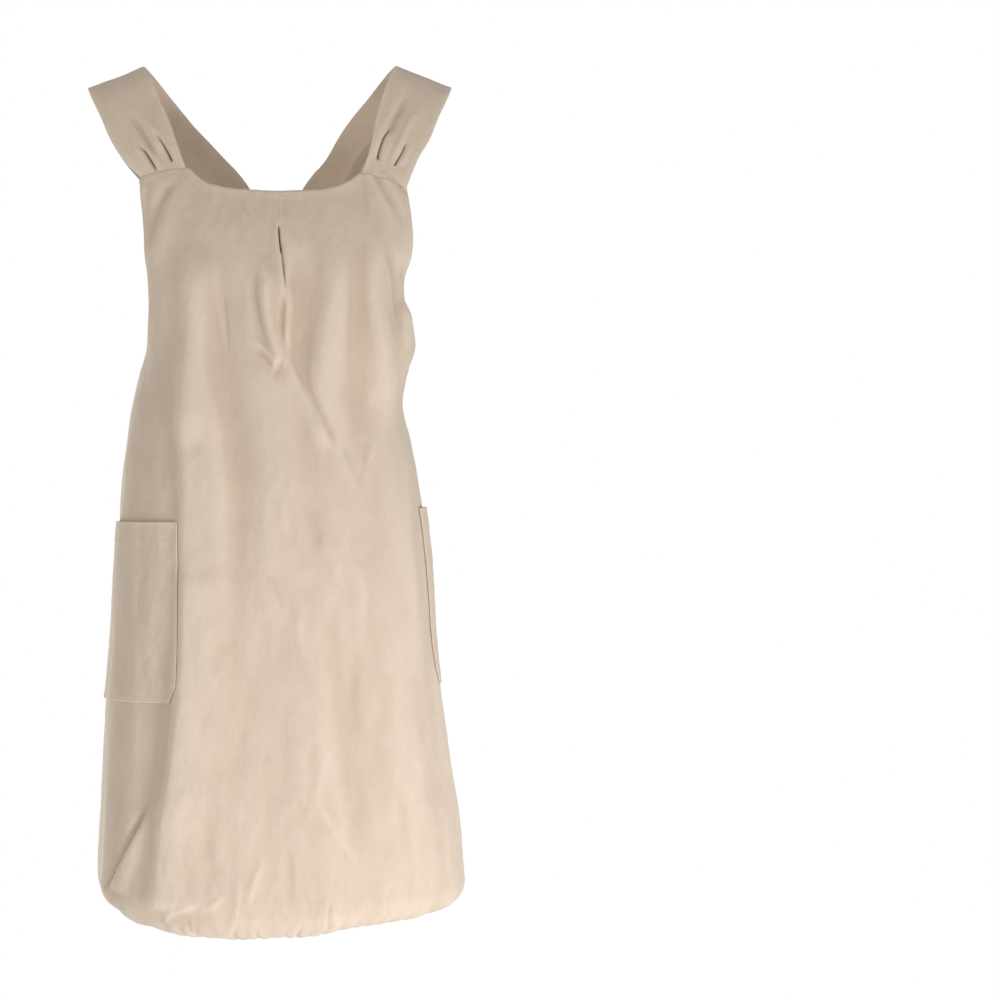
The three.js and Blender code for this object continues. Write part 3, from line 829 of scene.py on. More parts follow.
@dataclass
class FrontPanel(ClothMaker):
    """The bib and the skirt in one piece, with its hem gathered and turned under."""

    rows: int = 232
    columns: int = 208
    roll_share: float = 0.085
    hem_roll: float = 0.028
    roll_turn: float = math.radians(125)
    roll_taper: float = 0.075
    gather_line: float = 0.62
    band: float = 0.008
    band_height: float = 0.00045
    neck_seam: float = 0.0065
    side_seams: tuple = ((0.0022, 0.12), (0.0075, 0.1))
    strap_seam: tuple = (0.76, 0.785)
    wing_seam: tuple = (0.385, 0.4)
    wing_ends: tuple = (("start", 0.693), ("end", 0.633))
    seam_width: float = 0.01
    # width of the lighter band along the edges
    lighter_edge_width: float = 0.012
    closer_across: tuple = ((0.508, 0.03, 3.4), (0.47, 0.26, 1.0), (0.22, 0.05, 0.7))
    closer_up: tuple = ((0.97, 0.06, 1.0), (0.8, 0.13, 1.0), (0.1, 0.08, 1.1))

    def plain(self) -> tuple:
        """The panel's grid without its folds, and each point's place across."""
        across = grid_lines(self.columns, *self.closer_across)
        s, v = np.meshgrid(across, grid_lines(self.rows, *self.closer_up))
        hem_angle = self.body.panel_angle(s, np.ones_like(s))
        lowest = HEM_ROWS.at(np.degrees(hem_angle), "down") * self.body.height
        roll_top = -lowest + self.hem_roll
        ends = ramp(np.minimum(s, 1 - s), -0.01, self.roll_taper)
        turn = self.roll_turn * (0.3 + 0.7 * ends) * (1 - np.minimum(v / self.roll_share, 1))
        rolled = self.body.point(hem_angle, roll_top, self.hem_roll * (1 - np.cos(turn)))
        rolled[..., 2] -= self.hem_roll * np.sin(turn)
        up = np.clip((v - self.roll_share) / (1 - self.roll_share), 0, 1)
        z = roll_top * (1 - up) - self.body.top_down(s) * self.body.height * up
        hanging = self.body.point(self.body.panel_angle(s, -z / self.body.height), z)
        return np.where((v <= self.roll_share)[..., None], rolled, hanging), s

    def gathers(self, sheet: Sheet) -> Array:
        """The lift of the hem's gathers, which die away up the skirt."""
        points = sheet.points
        angle = np.degrees(np.arctan2(points[..., 0], -points[..., 1]))
        radius = np.hypot(points[..., 0], points[..., 1])
        from_end = sheet.to_edges()["low"]
        above = from_end - self.hem_roll * self.roll_turn * self.gather_line
        lift = np.zeros(points.shape[:2])
        for middle, depth, width, reach, lean in GATHERS.values:
            drift = lean * MM * np.clip(above / (reach * MM), 0, 1)
            away = np.radians(angle - middle) * radius - drift
            strength = 1 - ramp(above, -0.2 * reach * MM, reach * MM)
            strength *= ramp(from_end, -0.02, 0.02)
            lift -= depth * MM * strength * np.exp(-((away / (width * MM)) ** 2))
            lift += 0.3 * depth * MM * strength * np.exp(-((away / (2.4 * width * MM)) ** 2))
        return lift

    def neckline_ripple(self, sheet: Sheet) -> Array:
        """The fine upright ripples under the neckline."""
        x = sheet.points[..., 0]
        fade = 1 - ramp(sheet.to_edges()["high"], 0.002, 0.045)
        wave = np.sin(x / 0.0021 + 1.7 * np.sin(x / 0.013))
        return 0.22 * MM * fade * wave * np.exp(-((x / 0.1) ** 2))

    def joint(self, points: Array, s: Array, gaps: dict) -> Array:
        """Where the panel is sewn to the straps and their wings: 1 there and 0 elsewhere."""
        down = -points[..., 2] / self.body.height
        soft = 0.4 * self.seam_width
        share = ramp(np.abs(2 * s - 1), *self.strap_seam)
        joined = share * step_down(gaps["high"], self.seam_width, soft)
        for edge, low in self.wing_ends:
            beside = ramp(down, *self.wing_seam) * (1 - ramp(down, low - 0.006, low))
            joined = np.maximum(joined, beside * step_down(gaps[edge], self.seam_width, soft))
        return joined

    def build(self) -> Object:
        """Make the panel's cloth and return it."""
        points, s = self.plain()
        sheet = Sheet(points)
        sheet.measure()
        lift = self.relief.at(points) + self.neckline_ripple(sheet) + self.gathers(sheet)
        gaps = sheet.to_edges()
        joint = self.joint(points, s, gaps)
        near = np.minimum(np.minimum(gaps["start"], gaps["end"]), gaps["high"])
        # hem mark: lighter along the edges but not at the seams, with painted highlight on ridges and
        # painted shade in creases
        sheet.hem = (1 - ramp(near, 0.0, self.lighter_edge_width)) * (1 - joint) + sheet.ridge_and_crease_shading(lift)
        self.sheet = sheet.lifted(lift)
        band = step_down(near, self.band, 0.0015) * (1 - joint)
        self.outer = Layer.SINGLE.half() * (1 - 0.5 * joint) + self.band_height * band
        return sew(self.facts.name, self.sheet, self.outer, self.outer)

    def seams(self) -> list:
        """The stitched lines of the panel: neckline, armholes, side seams."""
        lines = [self.line("high", self.neck_seam, slice(8, -8))]
        for edge in ("start", "end"):
            for distance, share in self.side_seams:
                lines.append(self.line(edge, distance, slice(int(self.rows * share), -3)))
        return lines


# Folds of the straps before the shoulder, by their places in the front picture
RIGHT_STRAP_TUCKS = folds(
    ((139.5, 147, 144.5, 151.5, 149.5, 159, 156.5, 171), -8, 1.5, 1.5, 0.4, 0.12),
    ((156.5, 135, 161, 141.5, 166, 150, 172, 161.5), -8, 1.5, 1.5, 0.4, 0.12),
    ((131, 114, 140, 128.5, 147, 140, 154, 153), -5, 4.4, 3, 0.45, 0.25),
    ((146, 118, 154, 131, 163, 149), 2.4, 4.5, 3, 0.4, 0.2),
    ((131, 134, 138, 149, 149, 169), 1.4, 4, 2.4, 0.4, 0.2),
    ((147, 146, 153, 156, 161, 168), 1.6, 2.6, 3),
    ((165, 128, 171, 145, 178, 163), 1.2, 2.6, 3, 0.4, 0.3),
    ((104, 96, 116, 112, 126, 130), 0.8, 8, 8, 0.4, 0.4),
)
LEFT_STRAP_TUCKS = folds(
    ((389.5, 129, 384.5, 137, 381.2, 146, 378, 159.5), -9, 1.6, 1.6, 0.35, 0.1),
    ((405.5, 144, 402, 153, 398.5, 159, 394.8, 165.5), -7.5, 1.3, 1.4, 0.4, 0.12),
    ((405, 97, 399, 110, 393, 122, 388, 134), -4.6, 4, 5, 0.5, 0.25),
    ((415, 113, 408, 125, 399, 144, 391, 160), 2.2, 3.2, 4.4, 0.35, 0.35),
    ((383, 120, 377, 140, 372, 158), 1.3, 2.8, 3, 0.4, 0.3),
    ((390, 142, 386, 152, 382, 164), 1.2, 2.2, 2.6, 0.4, 0.35),
    ((412, 142, 407, 154, 401, 166), 1.3, 2.8, 3, 0.4, 0.3),
    ((424, 98, 420, 112, 414, 128), 0.8, 8, 8, 0.4, 0.4),
)

# Folds of the straps behind the shoulder
OVER_STRAP_FOLDS = folds(
    ((0.7, 5.3, 0.67, 6.2, 0.63, 7, 0.61, 7.5), -5, 3.4, 2.4, 0.25, 0.1),
    ((0.57, 5.5, 0.55, 6.4, 0.53, 7.2), 2.2, 4, 5, 0.4, 0.3),
    ((0.54, 7.3, 0.47, 8.1, 0.42, 9, 0.39, 10, 0.43, 11, 0.49, 12.2), -7.6, 5.4, 3.4, 0.1, 0.3),
    ((0.63, 7.3, 0.57, 8.2, 0.54, 9.2, 0.55, 10.4, 0.6, 11.4), 4.4, 5.5, 5, 0.12, 0.4),
    ((0.36, 7.9, 0.3, 9, 0.27, 10.4, 0.3, 11.6, 0.35, 12.6), 3.4, 6.5, 6, 0.2, 0.4),
    ((0.86, 7, 0.76, 7.7, 0.73, 8.4, 0.77, 9.4, 0.82, 10.6, 0.86, 11.6), -3.6, 3, 3, 0.25, 0.3),
    ((0.64, 7.4, 0.52, 7.25, 0.4, 7.5), 2.6, 2.4, 2.4, 0.3, 0.4),
    ((0.57, 7.62, 0.46, 7.55, 0.35, 7.85), -2.2, 2, 2, 0.3, 0.4),
    ((0.46, 6.6, 0.38, 7.2), -1.8, 2.2, 2.2, 0.3, 0.4),
    ((0.84, 6.4, 0.76, 7, 0.7, 7.4), -2, 2.4, 2.4),
    ((0.43, 12, 0.38, 13.4, 0.33, 14.8, 0.29, 16), 4.4, 5, 13, 0.25, 0.3),
    ((0.5, 12.3, 0.47, 13.4, 0.42, 14.6, 0.37, 15.6), -3.4, 16, 5, 0.25, 0.35),
    ((0.72, 12.4, 0.7, 14, 0.62, 16), 2.2, 14, 16, 0.4, 0.4),
    ((0.16, 12.4, 0.14, 14, 0.12, 15.6), -1.8, 10, 7, 0.4, 0.4),
)
UNDER_STRAP_FOLDS = folds(
    ((0.44, 6.3, 0.45, 7.2, 0.46, 8.2, 0.49, 9.4, 0.51, 10.6), -6.6, 4.6, 3, 0.2, 0.3),
    ((0.57, 6.6, 0.58, 8, 0.62, 9.6), 2.4, 6, 5, 0.3, 0.4),
    ((0.3, 7, 0.29, 9, 0.31, 11), 2, 7, 6, 0.3, 0.4),
    ((0.16, 14, 0.22, 15.2, 0.26, 16.4), 2.6, 11, 9),
    ((0.45, 13.8, 0.46, 15.2, 0.44, 16.6), -2.6, 14, 12),
    ((0.75, 14.2, 0.72, 15.4, 0.66, 16.6), 2.2, 14, 14),
)


@dataclass
class Strap(ClothMaker):
    """A strap from the bib over the shoulder and across the back, widening into a wing.

    Its places along are row numbers: 0 at the bib's seam, 5 on the shoulder, 8 where the back
    begins and the last at the panel's side. front_ends, on_back and crossing are stretches of
    rows. drawn_in and lowered move the shoulder's rows, and grains are unevenness: millimetres,
    a shift of its places and the size of its cells.
    """

    side: int
    back_rows: Table
    wing_outer_down: float
    tucks: tuple
    folds: tuple
    seed: int
    crossing_lift: float = 0.0
    drawn_in: float = 0.0
    lowered: float = 0.0
    wing_inner_down: float = 0.4
    strap_corner: float = 0.775
    columns: int = 84
    rows: int = 392
    overlap: float = 0.008
    painted_inside_shade: float = 1.2
    # how strongly the painted shade darkens the strap's inside
    tucked_in: float = 0.00062
    band: float = 0.0065
    band_height: float = 0.0003
    front_ends: tuple = (3.6, 4.6)
    on_back: tuple = (7.5, 9.5)
    crossing: tuple = (8.5, 10.0, 14.6, 16.2)
    pucker: float = 0.22
    pucker_cell: tuple = (0.006, 0.006, 0.006)
    drawn_shares: tuple = (1.0, 0.65, 0.15)
    lowered_shares: tuple = (0.3, 0.6, 0.9, 1.0, 1.0, 1.0, 0.9, 0.6)
    grains: tuple = (
        (0.7, 0.0, (0.03, 0.03, 0.06)), (0.3, 3.0, (0.012, 0.012, 0.022)), (0.1, 5.0, (0.005, 0.005, 0.008))
    )
    row_line: Array = field(init=False, default=None)

    def corner(self, across: Array, below: Array = 0.0) -> Array:
        """Points of the bib's top edge, or a little below it, for the strap's seam."""
        share = self.strap_corner * (1 - across) + across
        s = 0.5 + 0.5 * self.side * share
        down = self.body.top_down(s)
        angle = self.body.panel_angle(s, down)
        return self.body.point(angle, -down * self.body.height - below)

    def edge(self, name: str, seam: float, wing: float) -> Array:
        """The points along the inner or outer edge, one for each row number."""
        body = self.body
        x = body.shoulder_shift + self.side * SHOULDER_ROWS.column(name) * body.shoulder_half_span
        if name == "inner":
            x[:3] -= self.side * self.drawn_in * np.array(self.drawn_shares)
        y = SHOULDER_ROWS.column(name + "_deep") * body.shoulder_depth
        z = -SHOULDER_ROWS.column(name + "_down") * body.height
        z -= self.lowered * np.array(self.lowered_shares)
        over = np.stack([x, y, z], axis=-1)
        x = self.side * self.back_rows.column(name) * body.shoulder_half_span
        back = body.behind(x, -self.back_rows.column(name + "_down") * body.height)
        down = np.array([wing])
        last = body.point(body.edge_angle(down, -self.side), -down * body.height)
        return np.concatenate([self.corner(np.array([seam])), over, back, last])

    def plain(self) -> tuple:
        """The strap's grid without its folds, and each point's place across and its row."""
        inner = self.edge("inner", 0.0, self.wing_inner_down)
        outer = self.edge("outer", 1.0, self.wing_outer_down)
        last = len(inner) - 1
        row = -1 + grid_lines(self.rows, (0.05, 0.05, 2.4)) * (last + 2)
        across = grid_lines(self.columns)[:: self.side]
        cross, rows = np.meshgrid(across, row)
        share = cross[..., None]
        inner_at, outer_at = (rail(edge, np.clip(row, 0, last))[:, None] for edge in (inner, outer))
        points = inner_at * (1 - share) + outer_at * share
        chord = inner[0] * (1 - share) + outer[0] * share
        points = points + (self.corner(cross) - chord) * (1 - ramp(rows, 0, 1))[..., None]
        angle = np.arctan2(points[..., 0], -points[..., 1])
        on_body = self.body.point(angle, points[..., 2])
        points = points + (on_body - points) * ramp(rows, *self.on_back)[..., None]
        # the end that is sewn in behind the bib
        below = self.corner(cross, np.clip(-rows, 0, 1) * self.overlap)
        points = np.where((rows < 0)[..., None], below, points)
        # the end of the wing, sewn in behind the panel's edge
        beyond = np.clip(rows - last, 0, 1) * self.overlap / np.hypot(points[..., 0], points[..., 1])
        tucked = self.body.point(angle + self.side * beyond, points[..., 2])
        points = np.where((rows > last)[..., None], tucked, points)
        return points, cross, rows

    def fold_lift(self, sheet: Sheet, cross: Array, rows: Array) -> Array:
        """The lift of the folds behind the shoulder, measured on the strap laid flat."""
        along = sheet.flat[:, 0, 1]
        width = np.abs(sheet.flat[:, -1, 0] - sheet.flat[:, 0, 0])
        places = np.stack([cross * width[:, None], sheet.flat[..., 1]], axis=-1)
        laid = []
        for fold in self.folds:
            across, row = fold.pairs().T
            wide, here = (np.interp(row, rows[:, 0], values) for values in (width, along))
            path = np.stack([across * wide, here], axis=1)
            laid.append(replace(fold, path=tuple(path.ravel())))
        return lift_of(laid, places, 1 / MM)

    def build(self) -> Object:
        """Make the strap's cloth and return it."""
        points, cross, rows = self.plain()
        sheet = Sheet(points)
        sheet.measure()
        last = rows.max() - 1
        lift = self.fold_lift(sheet, cross, rows)
        places = self.relief.camera.seen(points)
        front = 1 - ramp(rows, *self.front_ends)
        lift += lift_of(self.tucks, places, self.relief.picture_scale) * front
        uneven = Unevenness(self.seed)
        for amount, shift, cell in self.grains:
            lift += amount * MM * uneven.at(points + shift, cell)
        rise = ramp(rows, *self.crossing[:2]) * (1 - ramp(rows, *self.crossing[2:]))
        lift += self.crossing_lift * rise
        joined = np.maximum(1 - ramp(rows, -0.2, 0.6), ramp(rows, last - 0.6, last))
        lift = lift * (1 - joined) + self.relief.at(points) * joined
        sunk = 1 - ramp(rows, -0.1, 0.35)
        lift -= self.tucked_in * np.maximum(sunk, ramp(rows, last - 0.12, last + 0.1))
        gaps = sheet.to_edges()
        near = np.minimum(gaps["start"], gaps["end"])
        pucker = uneven.at(points + 9.0, self.pucker_cell)
        lift += self.pucker * MM * pucker * (1 - ramp(near, 0.006, 0.016))
        # hem mark: lighter along the edges, with painted highlight on ridges and painted shade in creases
        sheet.hem = 1 - ramp(near, 0.0, 0.008) + sheet.ridge_and_crease_shading(lift)
        self.sheet = sheet.lifted(lift)
        ends = ramp(rows, 0.1, 1.2) * (1 - ramp(rows, last - 1.2, last - 0.1))
        half = Layer.SINGLE.half() + (Layer.DOUBLE.half() - Layer.SINGLE.half()) * ends
        band = step_down(near, self.band, 0.0008) * ends * (0.25 + 0.75 * ramp(rows, 6.5, 9.0))
        self.outer = half + self.band_height * band
        self.row_line = rows[:, 0]
        return sew(self.facts.name, self.sheet, self.outer, self.outer, self.painted_inside_shade)

    def seams(self) -> list:
        """The stitched lines along the strap's two edges."""
        shown = (self.row_line > 8.0) & (self.row_line < self.row_line.max() - 1.05)
        return [self.line(edge, self.band - MM, shown) for edge in ("start", "end")]


@dataclass
class PatchPocket(ClothMaker):
    """A patch pocket with a hemmed mouth and cut bottom corners.

    front_top, front_bottom and rear are degrees round the body, top and bottom shares of the
    height, and gape is how far the mouth stands off.
    """

    front_top: float
    front_bottom: float
    rear: float
    top: float
    bottom: float
    gape: float
    corner_across: float = 0.07
    corner_up: float = 0.09
    columns: int = 100
    rows: int = 116
    clearance: float = 0.0011
    seated: float = 0.0007
    seam: float = 0.0022
    mouth_band: float = 0.024
    turned_band: float = 0.0075
    band_height: float = 0.00035
    pucker: float = 0.2
    pucker_cell: tuple = (0.006, 0.006, 0.007)
    closer: tuple = ((0.0, 0.1, 1.0), (1.0, 0.1, 1.0))

    def build(self) -> Object:
        """Make the pocket's cloth and return it."""
        s, v = np.meshgrid(*(grid_lines(n, *self.closer) for n in (self.columns, self.rows)))
        from_front = 1 - s if self.rear < 0 else s
        cut = np.maximum(0, 1 - v / self.corner_up) * self.corner_across
        share = cut + from_front * (1 - 2 * cut)
        front = self.front_bottom * (1 - v) + self.front_top * v
        angle = np.radians(front * (1 - share) + self.rear * share)
        z = -(self.bottom * (1 - v) + self.top * v) * self.body.height
        base = Sheet(self.body.point(angle, z))
        base.measure()
        relief = self.relief.at(base.points)
        sewn = base.lifted(relief)
        off = Layer.SINGLE.value * MM + self.clearance
        lift = off + self.gape * np.sin(math.pi * s) ** 0.8 * ramp(v, 0.2, 1.0)
        gaps = base.to_edges()
        rim = np.minimum(np.minimum(gaps["start"], gaps["end"]), gaps["low"])
        pucker = self.relief.crumple.at(base.points + 7.0, self.pucker_cell)
        lift = lift + self.pucker * MM * pucker * (1 - ramp(rim, 0.004, 0.014))
        sewn_rim = np.minimum(gaps["end" if self.rear < 0 else "start"], gaps["low"])
        seated = (1 - ramp(sewn_rim, 0.003, 0.012)) * (1 - ramp(share, 0.8, 0.92))
        lift = lift - self.seated * seated
        # hem mark: lighter along the edges, with painted highlight on ridges and painted shade in creases
        sewn.hem = 1 - ramp(np.minimum(rim, gaps["high"]), 0.0, 0.007) + sewn.ridge_and_crease_shading(relief)
        self.sheet = sewn.lifted(lift)
        turned = step_down(rim, self.turned_band, 0.0012)
        hemmed = step_down(gaps["high"], self.mouth_band, 0.001)
        half = Layer.SINGLE.half()
        self.outer = half + self.band_height * np.maximum(turned, hemmed)
        return sew(self.facts.name, self.sheet, self.outer, np.full(lift.shape, half))

    def seams(self) -> list:
        """The stitched lines: round three sides, and across under the mouth's hem."""
        lines = [self.line(edge, self.seam) for edge in ("start", "end", "low")]
        return lines + [self.line("high", self.mouth_band - 2 * MM)]


class Graph:
    """Short ways to add nodes to a material or a world."""

    def __init__(self, tree: NodeTree) -> None:
        """Keep the node tree."""
        self.tree = tree

    def feed(self, node: Node, inputs: dict) -> None:
        """Set a node's inputs to numbers or colours, or join them to other sockets."""
        for name, value in inputs.items():
            if isinstance(value, (int, float, tuple)):
                node.inputs[name].default_value = value
            else:
                self.tree.links.new(value, node.inputs[name])

    def add(self, kind: str, inputs: dict, **settings: object) -> Node:
        """Add a node of a kind with its inputs and settings."""
        node = self.tree.nodes.new("ShaderNode" + kind)
        for name, value in settings.items():
            setattr(node, name, value)
        self.feed(node, inputs)
        return node

    def math(self, operation: str, *values: object) -> NodeSocket:
        """Add a Math node with numbers or sockets for its inputs, and return its output."""
        return self.add("Math", dict(enumerate(values)), operation=operation).outputs[0]

    def noise(self, where: object, scale: float, detail: float) -> NodeSocket:
        """Add a noise texture and return its height."""
        inputs = {"Scale": scale, "Detail": detail, "Vector": where}
        return self.add("TexNoise", inputs).outputs["Fac"]

    def slubs(self, x: object, y: object, scale_x: float, scale_y: float) -> NodeSocket:
        """Add the uneven thickness of threads, drawn out along one direction."""
        inputs = {0: self.math("MULTIPLY", x, scale_x), 1: self.math("MULTIPLY", y, scale_y)}
        return self.noise(self.add("CombineXYZ", inputs).outputs[0], 1.0, 2.0)

    def mix(self, factor: object, first: object, second: object, blend: str = "MIX") -> NodeSocket:
        """Mix two colours, also beyond either of them, and return the result."""
        inputs = {"Factor": factor, "A": first, "B": second}
        node = self.add("Mix", inputs, data_type="RGBA", blend_type=blend, clamp_factor=False)
        return node.outputs["Result"]

    def mark(self, name: str) -> NodeSocket:
        """Read one of the cloth's attributes."""
        return self.add("Attribute", {}, attribute_name=name).outputs["Fac"]

    def bump(self, height: object, strength: object, distance: float) -> NodeSocket:
        """Turn a height into a direction."""
        inputs = {"Height": height, "Strength": strength, "Distance": distance}
        return self.add("Bump", inputs).outputs["Normal"]


def new_material(name: str, inputs: dict) -> tuple:
    """Make a material.

    Args:
        name: its name.
        inputs: numbers and colours for the inputs of its shader.

    Returns:
        The material, the graph of its nodes and its shader.
    """
    made = bpy.data.materials.new(name)
    made.use_nodes = True
    graph = Graph(made.node_tree)
    shader = made.node_tree.nodes["Principled BSDF"]
    graph.feed(shader, inputs)
    return made, graph, shader


@dataclass(frozen=True)
class LinenFinish:
    """Washed linen in plain weave, with slubs and a soft bloom; its colour carries painted highlight on
    ridges, painted shade in creases and painted shade on the inside of the cloth.
    """

    colour: tuple = (0.66, 0.54, 0.425, 1)
    light: tuple = (0.74, 0.62, 0.5, 1)
    # painted shade: the colour that the inside of the cloth is multiplied by
    inside: tuple = (0.84, 0.83, 0.82, 1)
    thread: float = 0.00078
    roughness: float = 0.92
    sheen: float = 0.18
    relief: float = 0.35
    crumple: float = 20.0

    def material(self) -> Material:
        """Build the node material and return it."""
        shine = {"Roughness": self.roughness, "Sheen Weight": self.sheen}
        shine |= {"Sheen Roughness": 0.6, "Specular IOR Level": 0.25}
        made, graph, shader = new_material("washed_linen", shine)
        flat = graph.add("UVMap", {}, uv_map="weave").outputs["UV"]
        split = graph.add("SeparateXYZ", {0: flat})
        x, y = (graph.math("DIVIDE", split.outputs[axis], self.thread) for axis in (0, 1))
        waves = [graph.math("SINE", graph.math("MULTIPLY", at, math.pi)) for at in (x, y)]
        over = graph.math("MULTIPLY", *waves)
        threads = [
            graph.math("MULTIPLY", graph.math("ABSOLUTE", wave), graph.math("MULTIPLY_ADD", over, top, 0.6))
            for wave, top in zip(waves, (0.4, -0.4))
        ]
        weave = graph.math("MAXIMUM", *threads)
        slub = graph.math("ADD", graph.slubs(x, y, 0.9, 0.035), graph.slubs(x, y, 0.035, 0.9))
        place = graph.add("TexCoord", {}).outputs["Object"]
        tone = graph.math("MULTIPLY_ADD", slub, 0.45, -0.02)
        for source, share, shift in (
            (graph.noise(place, 22.0, 4.0), 0.5, -0.25),
            (graph.noise(place, 130.0, 3.0), 0.5, -0.25),
            (weave, 0.25, -0.14),
        ):
            tone = graph.math("ADD", tone, graph.math("MULTIPLY_ADD", source, share, shift))
        # the hem mark lightens the edges, paints highlight on ridges and paints shade in creases
        tone = graph.math("MULTIPLY_ADD", graph.mark("hem"), 0.6, tone)
        # the inside mark: painted shade on the inside of the cloth, and a weaker bump there
        inside_shade_mask = graph.mark("inside")
        bloom = graph.mix(tone, self.colour, self.light)
        # crumples run down the cloth, so their places are drawn together upright
        upright = graph.add("Mapping", {"Vector": place, "Scale": (1.0, 1.0, 0.55)}).outputs["Vector"]
        height = graph.math("MULTIPLY_ADD", slub, 0.6, weave)
        height = graph.math("MULTIPLY_ADD", graph.noise(upright, 75.0, 6.0), self.crumple, height)
        strength = graph.math("MULTIPLY_ADD", inside_shade_mask, -0.5 * self.relief, self.relief)
        # painted shade: the inside of the cloth is multiplied by the darker inside colour
        colour = graph.mix(inside_shade_mask, bloom, self.inside, "MULTIPLY")
        graph.feed(shader, {"Base Color": colour, "Normal": graph.bump(height, strength, 0.0003)})
        return made


@dataclass(frozen=True)
class ThreadFinish:
    """Matt sewing thread, a little lighter than the cloth, with its twist."""

    colour: tuple = (0.74, 0.63, 0.51, 1)
    shade: tuple = (0.62, 0.51, 0.4, 1)
    roughness: float = 0.8

    def material(self) -> Material:
        """Build the node material and return it."""
        shine = {"Roughness": self.roughness, "Sheen Weight": 0.15}
        made, graph, shader = new_material("sewing_thread", shine)
        twist = graph.noise(graph.add("TexCoord", {}).outputs["Object"], 3500.0, 2.0)
        colour = graph.mix(twist, self.shade, self.colour)
        graph.feed(shader, {"Base Color": colour, "Normal": graph.bump(twist, 0.3, 0.0001)})
        return made


@dataclass
class Stitching:
    """Topstitching: one stitch modelled once and repeated along lines."""

    pitch: float = 0.0031
    length: float = 0.0022
    width: float = 0.00042
    raised: float = 0.12
    sides: int = 6
    rings: int = 5

    def one_stitch(self) -> tuple:
        """Model a single stitch, lying along X, and return its vertices and faces."""
        bpy.ops.object.select_all(action="DESELECT")
        bpy.ops.mesh.primitive_uv_sphere_add(
            segments=self.sides, ring_count=self.rings, radius=0.5, rotation=(0, math.pi / 2, 0)
        )
        ball = bpy.context.active_object
        ball.scale = (self.width, self.width, self.length)
        bpy.ops.object.transform_apply(location=False, rotation=True, scale=True)
        vertices = np.array([v.co[:] for v in ball.data.vertices])
        faces = sorted(tuple(p.vertices) for p in ball.data.polygons)
        bpy.data.objects.remove(ball)
        return vertices, faces

    def along(self, name: str, lines: list) -> Object:
        """Sew stitches along lines.

        Args:
            name: the piece's name.
            lines: (points, directions out of the cloth) of each line.

        Returns:
            The piece.
        """
        model, faces = self.one_stitch()
        vertices = []
        for line, facing in lines:
            steps = np.linalg.norm(np.diff(line, axis=0), axis=1)
            length = np.concatenate([[0], np.cumsum(steps)])
            places = np.arange(self.pitch, length[-1] - self.pitch, self.pitch)
            middle, ahead, out = (
                np.stack([np.interp(at, length, column) for column in values.T], 1)
                for at, values in ((places, line), (places + self.length / 2, line), (places, facing))
            )
            run = unit(ahead - middle)
            side = unit(np.cross(out, run))
            up = np.cross(run, side)
            for p, r, s, u in zip(middle, run, side, up):
                vertices.append(p + model @ np.stack([r, s, u]) + u * self.width * self.raised)
        firsts = range(0, len(vertices) * len(model), len(model))
        all_faces = [tuple(i + first for i in face) for first in firsts for face in faces]
        return new_piece(name, np.concatenate(vertices), all_faces)


@dataclass(frozen=True)
class Lamp:
    """A square area light: where it stands, what it points at, its side, watts, tint and beam."""

    name: str
    place: tuple
    aim: tuple
    size: float
    power: float
    tint: tuple
    spread: float

    def hang(self) -> None:
        """Add the light to the scene."""
        data = bpy.data.lights.new(self.name, "AREA")
        data.size = self.size
        data.energy = self.power
        data.color = self.tint
        data.spread = math.radians(self.spread)
        light = link_object(self.name, data)
        light.location = self.place
        x, y, z = np.array(self.aim) - np.array(self.place)
        light.rotation_euler = (math.atan2(math.hypot(x, y), -z), 0.0, math.atan2(-x, y))


LAMPS = (
    Lamp("key", (1.06, -1.5, -1.3), (-0.12, -0.05, -0.95), 0.42, 3.85, (1.0, 0.99, 1.01), 85),
    Lamp("side", (2.7, -0.5, -1.1), (0.0, 0.0, -0.7), 0.8, 1.3, (1.0, 0.99, 1.0), 100),
    Lamp("fill", (-1.2, -2.6, -0.9), (0.0, 0.0, -0.6), 1.6, 6, (1.0, 0.99, 0.98), 180),
    Lamp("back", (-1.5, 2.4, -1.1), (0.0, 0.0, -0.55), 0.7, 40, (1.0, 0.99, 0.97), 180),
)


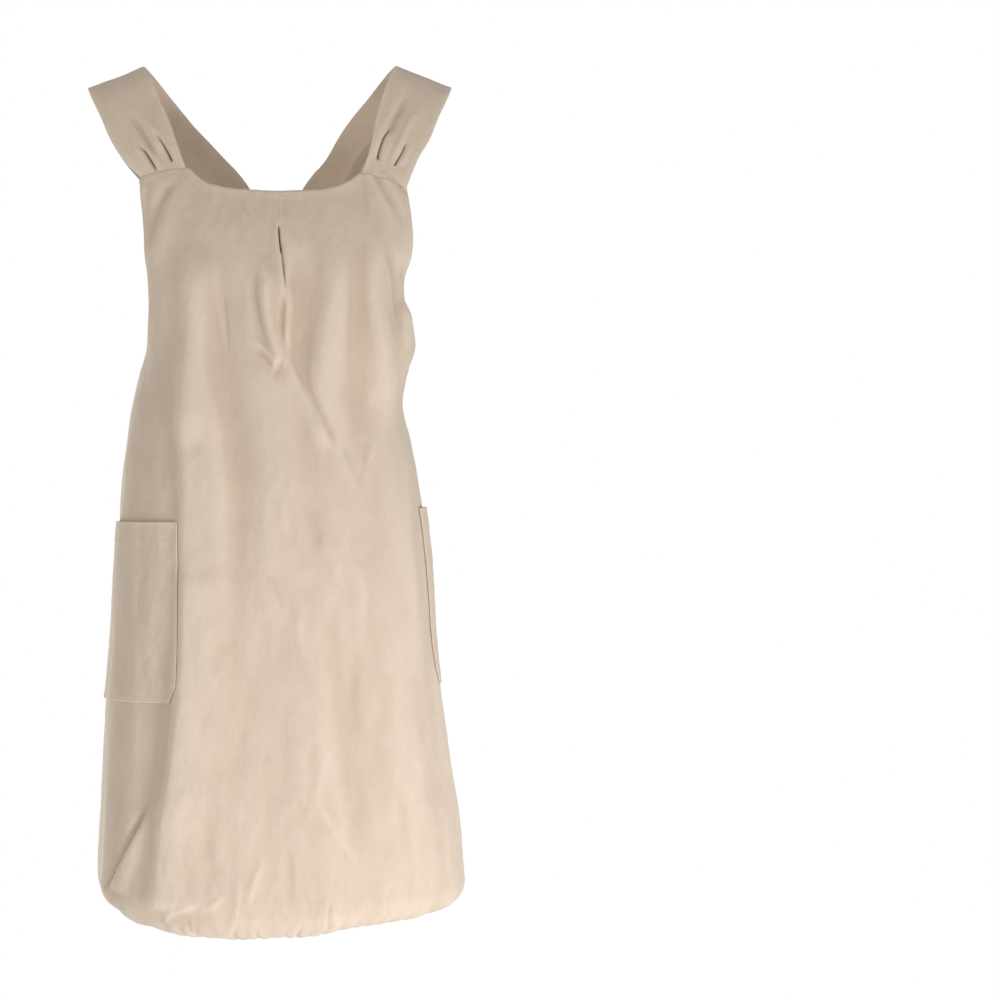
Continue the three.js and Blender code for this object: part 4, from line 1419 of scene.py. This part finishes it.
@dataclass
class Studio:
    """A plain pale floor, soft lights and a white world."""

    floor_height: float = -1.22
    floor_radius: float = 0.68
    ambient: float = 0.622
    ambient_fade: float = -0.2
    ambient_tint: tuple = (1.0, 0.985, 0.96, 1)
    pale: tuple = (0.9, 0.9, 0.9, 1)
    white: tuple = (1, 1, 1, 1)

    def floor(self) -> None:
        """Lay the floor."""
        bpy.ops.object.select_all(action="DESELECT")
        bpy.ops.mesh.primitive_circle_add(
            vertices=96, radius=self.floor_radius, fill_type="NGON", location=(0, 0, self.floor_height)
        )
        floor = bpy.context.active_object
        floor.name = "studio_floor"
        look = {"Base Color": self.pale, "Roughness": 0.9}
        look |= {"Emission Color": self.white, "Emission Strength": 0.35}
        floor.data.materials.append(new_material("pale_floor", look)[0])

    def world(self) -> None:
        """Make the world: white to look at, softer as a light."""
        world = bpy.data.worlds.new("studio_world")
        bpy.context.scene.world = world
        world.use_nodes = True
        world.node_tree.nodes.clear()
        graph = Graph(world.node_tree)
        split = graph.add("SeparateXYZ", {0: graph.add("TexCoord", {}).outputs["Generated"]})
        fade = graph.math("MULTIPLY_ADD", split.outputs[2], self.ambient_fade, self.ambient)
        ambient = graph.add("Background", {"Color": self.ambient_tint, "Strength": fade}).outputs[0]
        white = graph.add("Background", {"Color": self.white, "Strength": 1.0}).outputs[0]
        seen = graph.add("LightPath", {}).outputs["Is Camera Ray"]
        mix = graph.add("MixShader", {0: seen, 1: ambient, 2: white}).outputs[0]
        graph.add("OutputWorld", {"Surface": mix})

    def build(self) -> None:
        """Set up the floor, the lights and the world."""
        self.floor()
        self.world()
        for lamp in LAMPS:
            lamp.hang()
        view = bpy.context.scene.view_settings
        view.view_transform = "Standard"
        view.look = "None"
        view.exposure = 0.0
        view.gamma = 1.0


def dress(piece: Object, finish: Material, node: str = "") -> None:
    """Give a piece its material and its body, and let it stand for a node."""
    piece.data.materials.append(finish)
    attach(piece, "root")
    if node:
        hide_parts(node)


def apron_makers() -> tuple:
    """Everything that makes a cloth, in the order that they are made."""
    body = BodyForm()
    relief = ClothRelief(FrontCamera())
    return (
        FrontPanel(ClothFacts("panel_cloth", "front_panel", (0.6, 0.92), 0.49), body, relief),
        Strap(
            ClothFacts("over_strap_cloth", "over_strap", (0.29, 1.05), 0.106), body, relief, 1,
            OVER_STRAP_ROWS, 0.693, LEFT_STRAP_TUCKS, OVER_STRAP_FOLDS, 31,
            crossing_lift=0.0085, lowered=-0.0016,
        ),
        Strap(
            ClothFacts("under_strap_cloth", "under_strap", (0.23, 0.93), 0.067), body, relief, -1,
            UNDER_STRAP_ROWS, 0.633, RIGHT_STRAP_TUCKS, UNDER_STRAP_FOLDS, 47,
            drawn_in=0.0085, lowered=0.0036,
        ),
        PatchPocket(
            ClothFacts("right_pocket_cloth", "right_pocket", (0.155, 0.205)), body, relief,
            -47, -44, -93, 0.533, 0.737, 0.0022,
        ),
        PatchPocket(
            ClothFacts("left_pocket_cloth", "left_pocket", (0.125, 0.205)), body, relief,
            77, 78, 115.5, 0.517, 0.721, 0.0026,
        ),
    )


def main() -> None:
    """Build the apron piece by piece, then the studio round it."""
    logging.basicConfig(level=logging.INFO, format="%(name)s: %(message)s", stream=sys.stdout)
    FrontCamera().place()
    linen = LinenFinish().material()
    thread = ThreadFinish().material()
    stitching = Stitching()
    for maker in apron_makers():
        facts = maker.facts
        cloth = maker.build()
        dress(cloth, linen, facts.node)
        stitches = stitching.along(facts.node + "_stitches", maker.seams())
        dress(stitches, thread)
        faces = len(cloth.data.polygons), len(stitches.data.polygons)
        log.info("%s: %d faces, %d in its stitches", cloth.name, *faces)
    Studio().build()


if __name__ == "__main__":
    main()
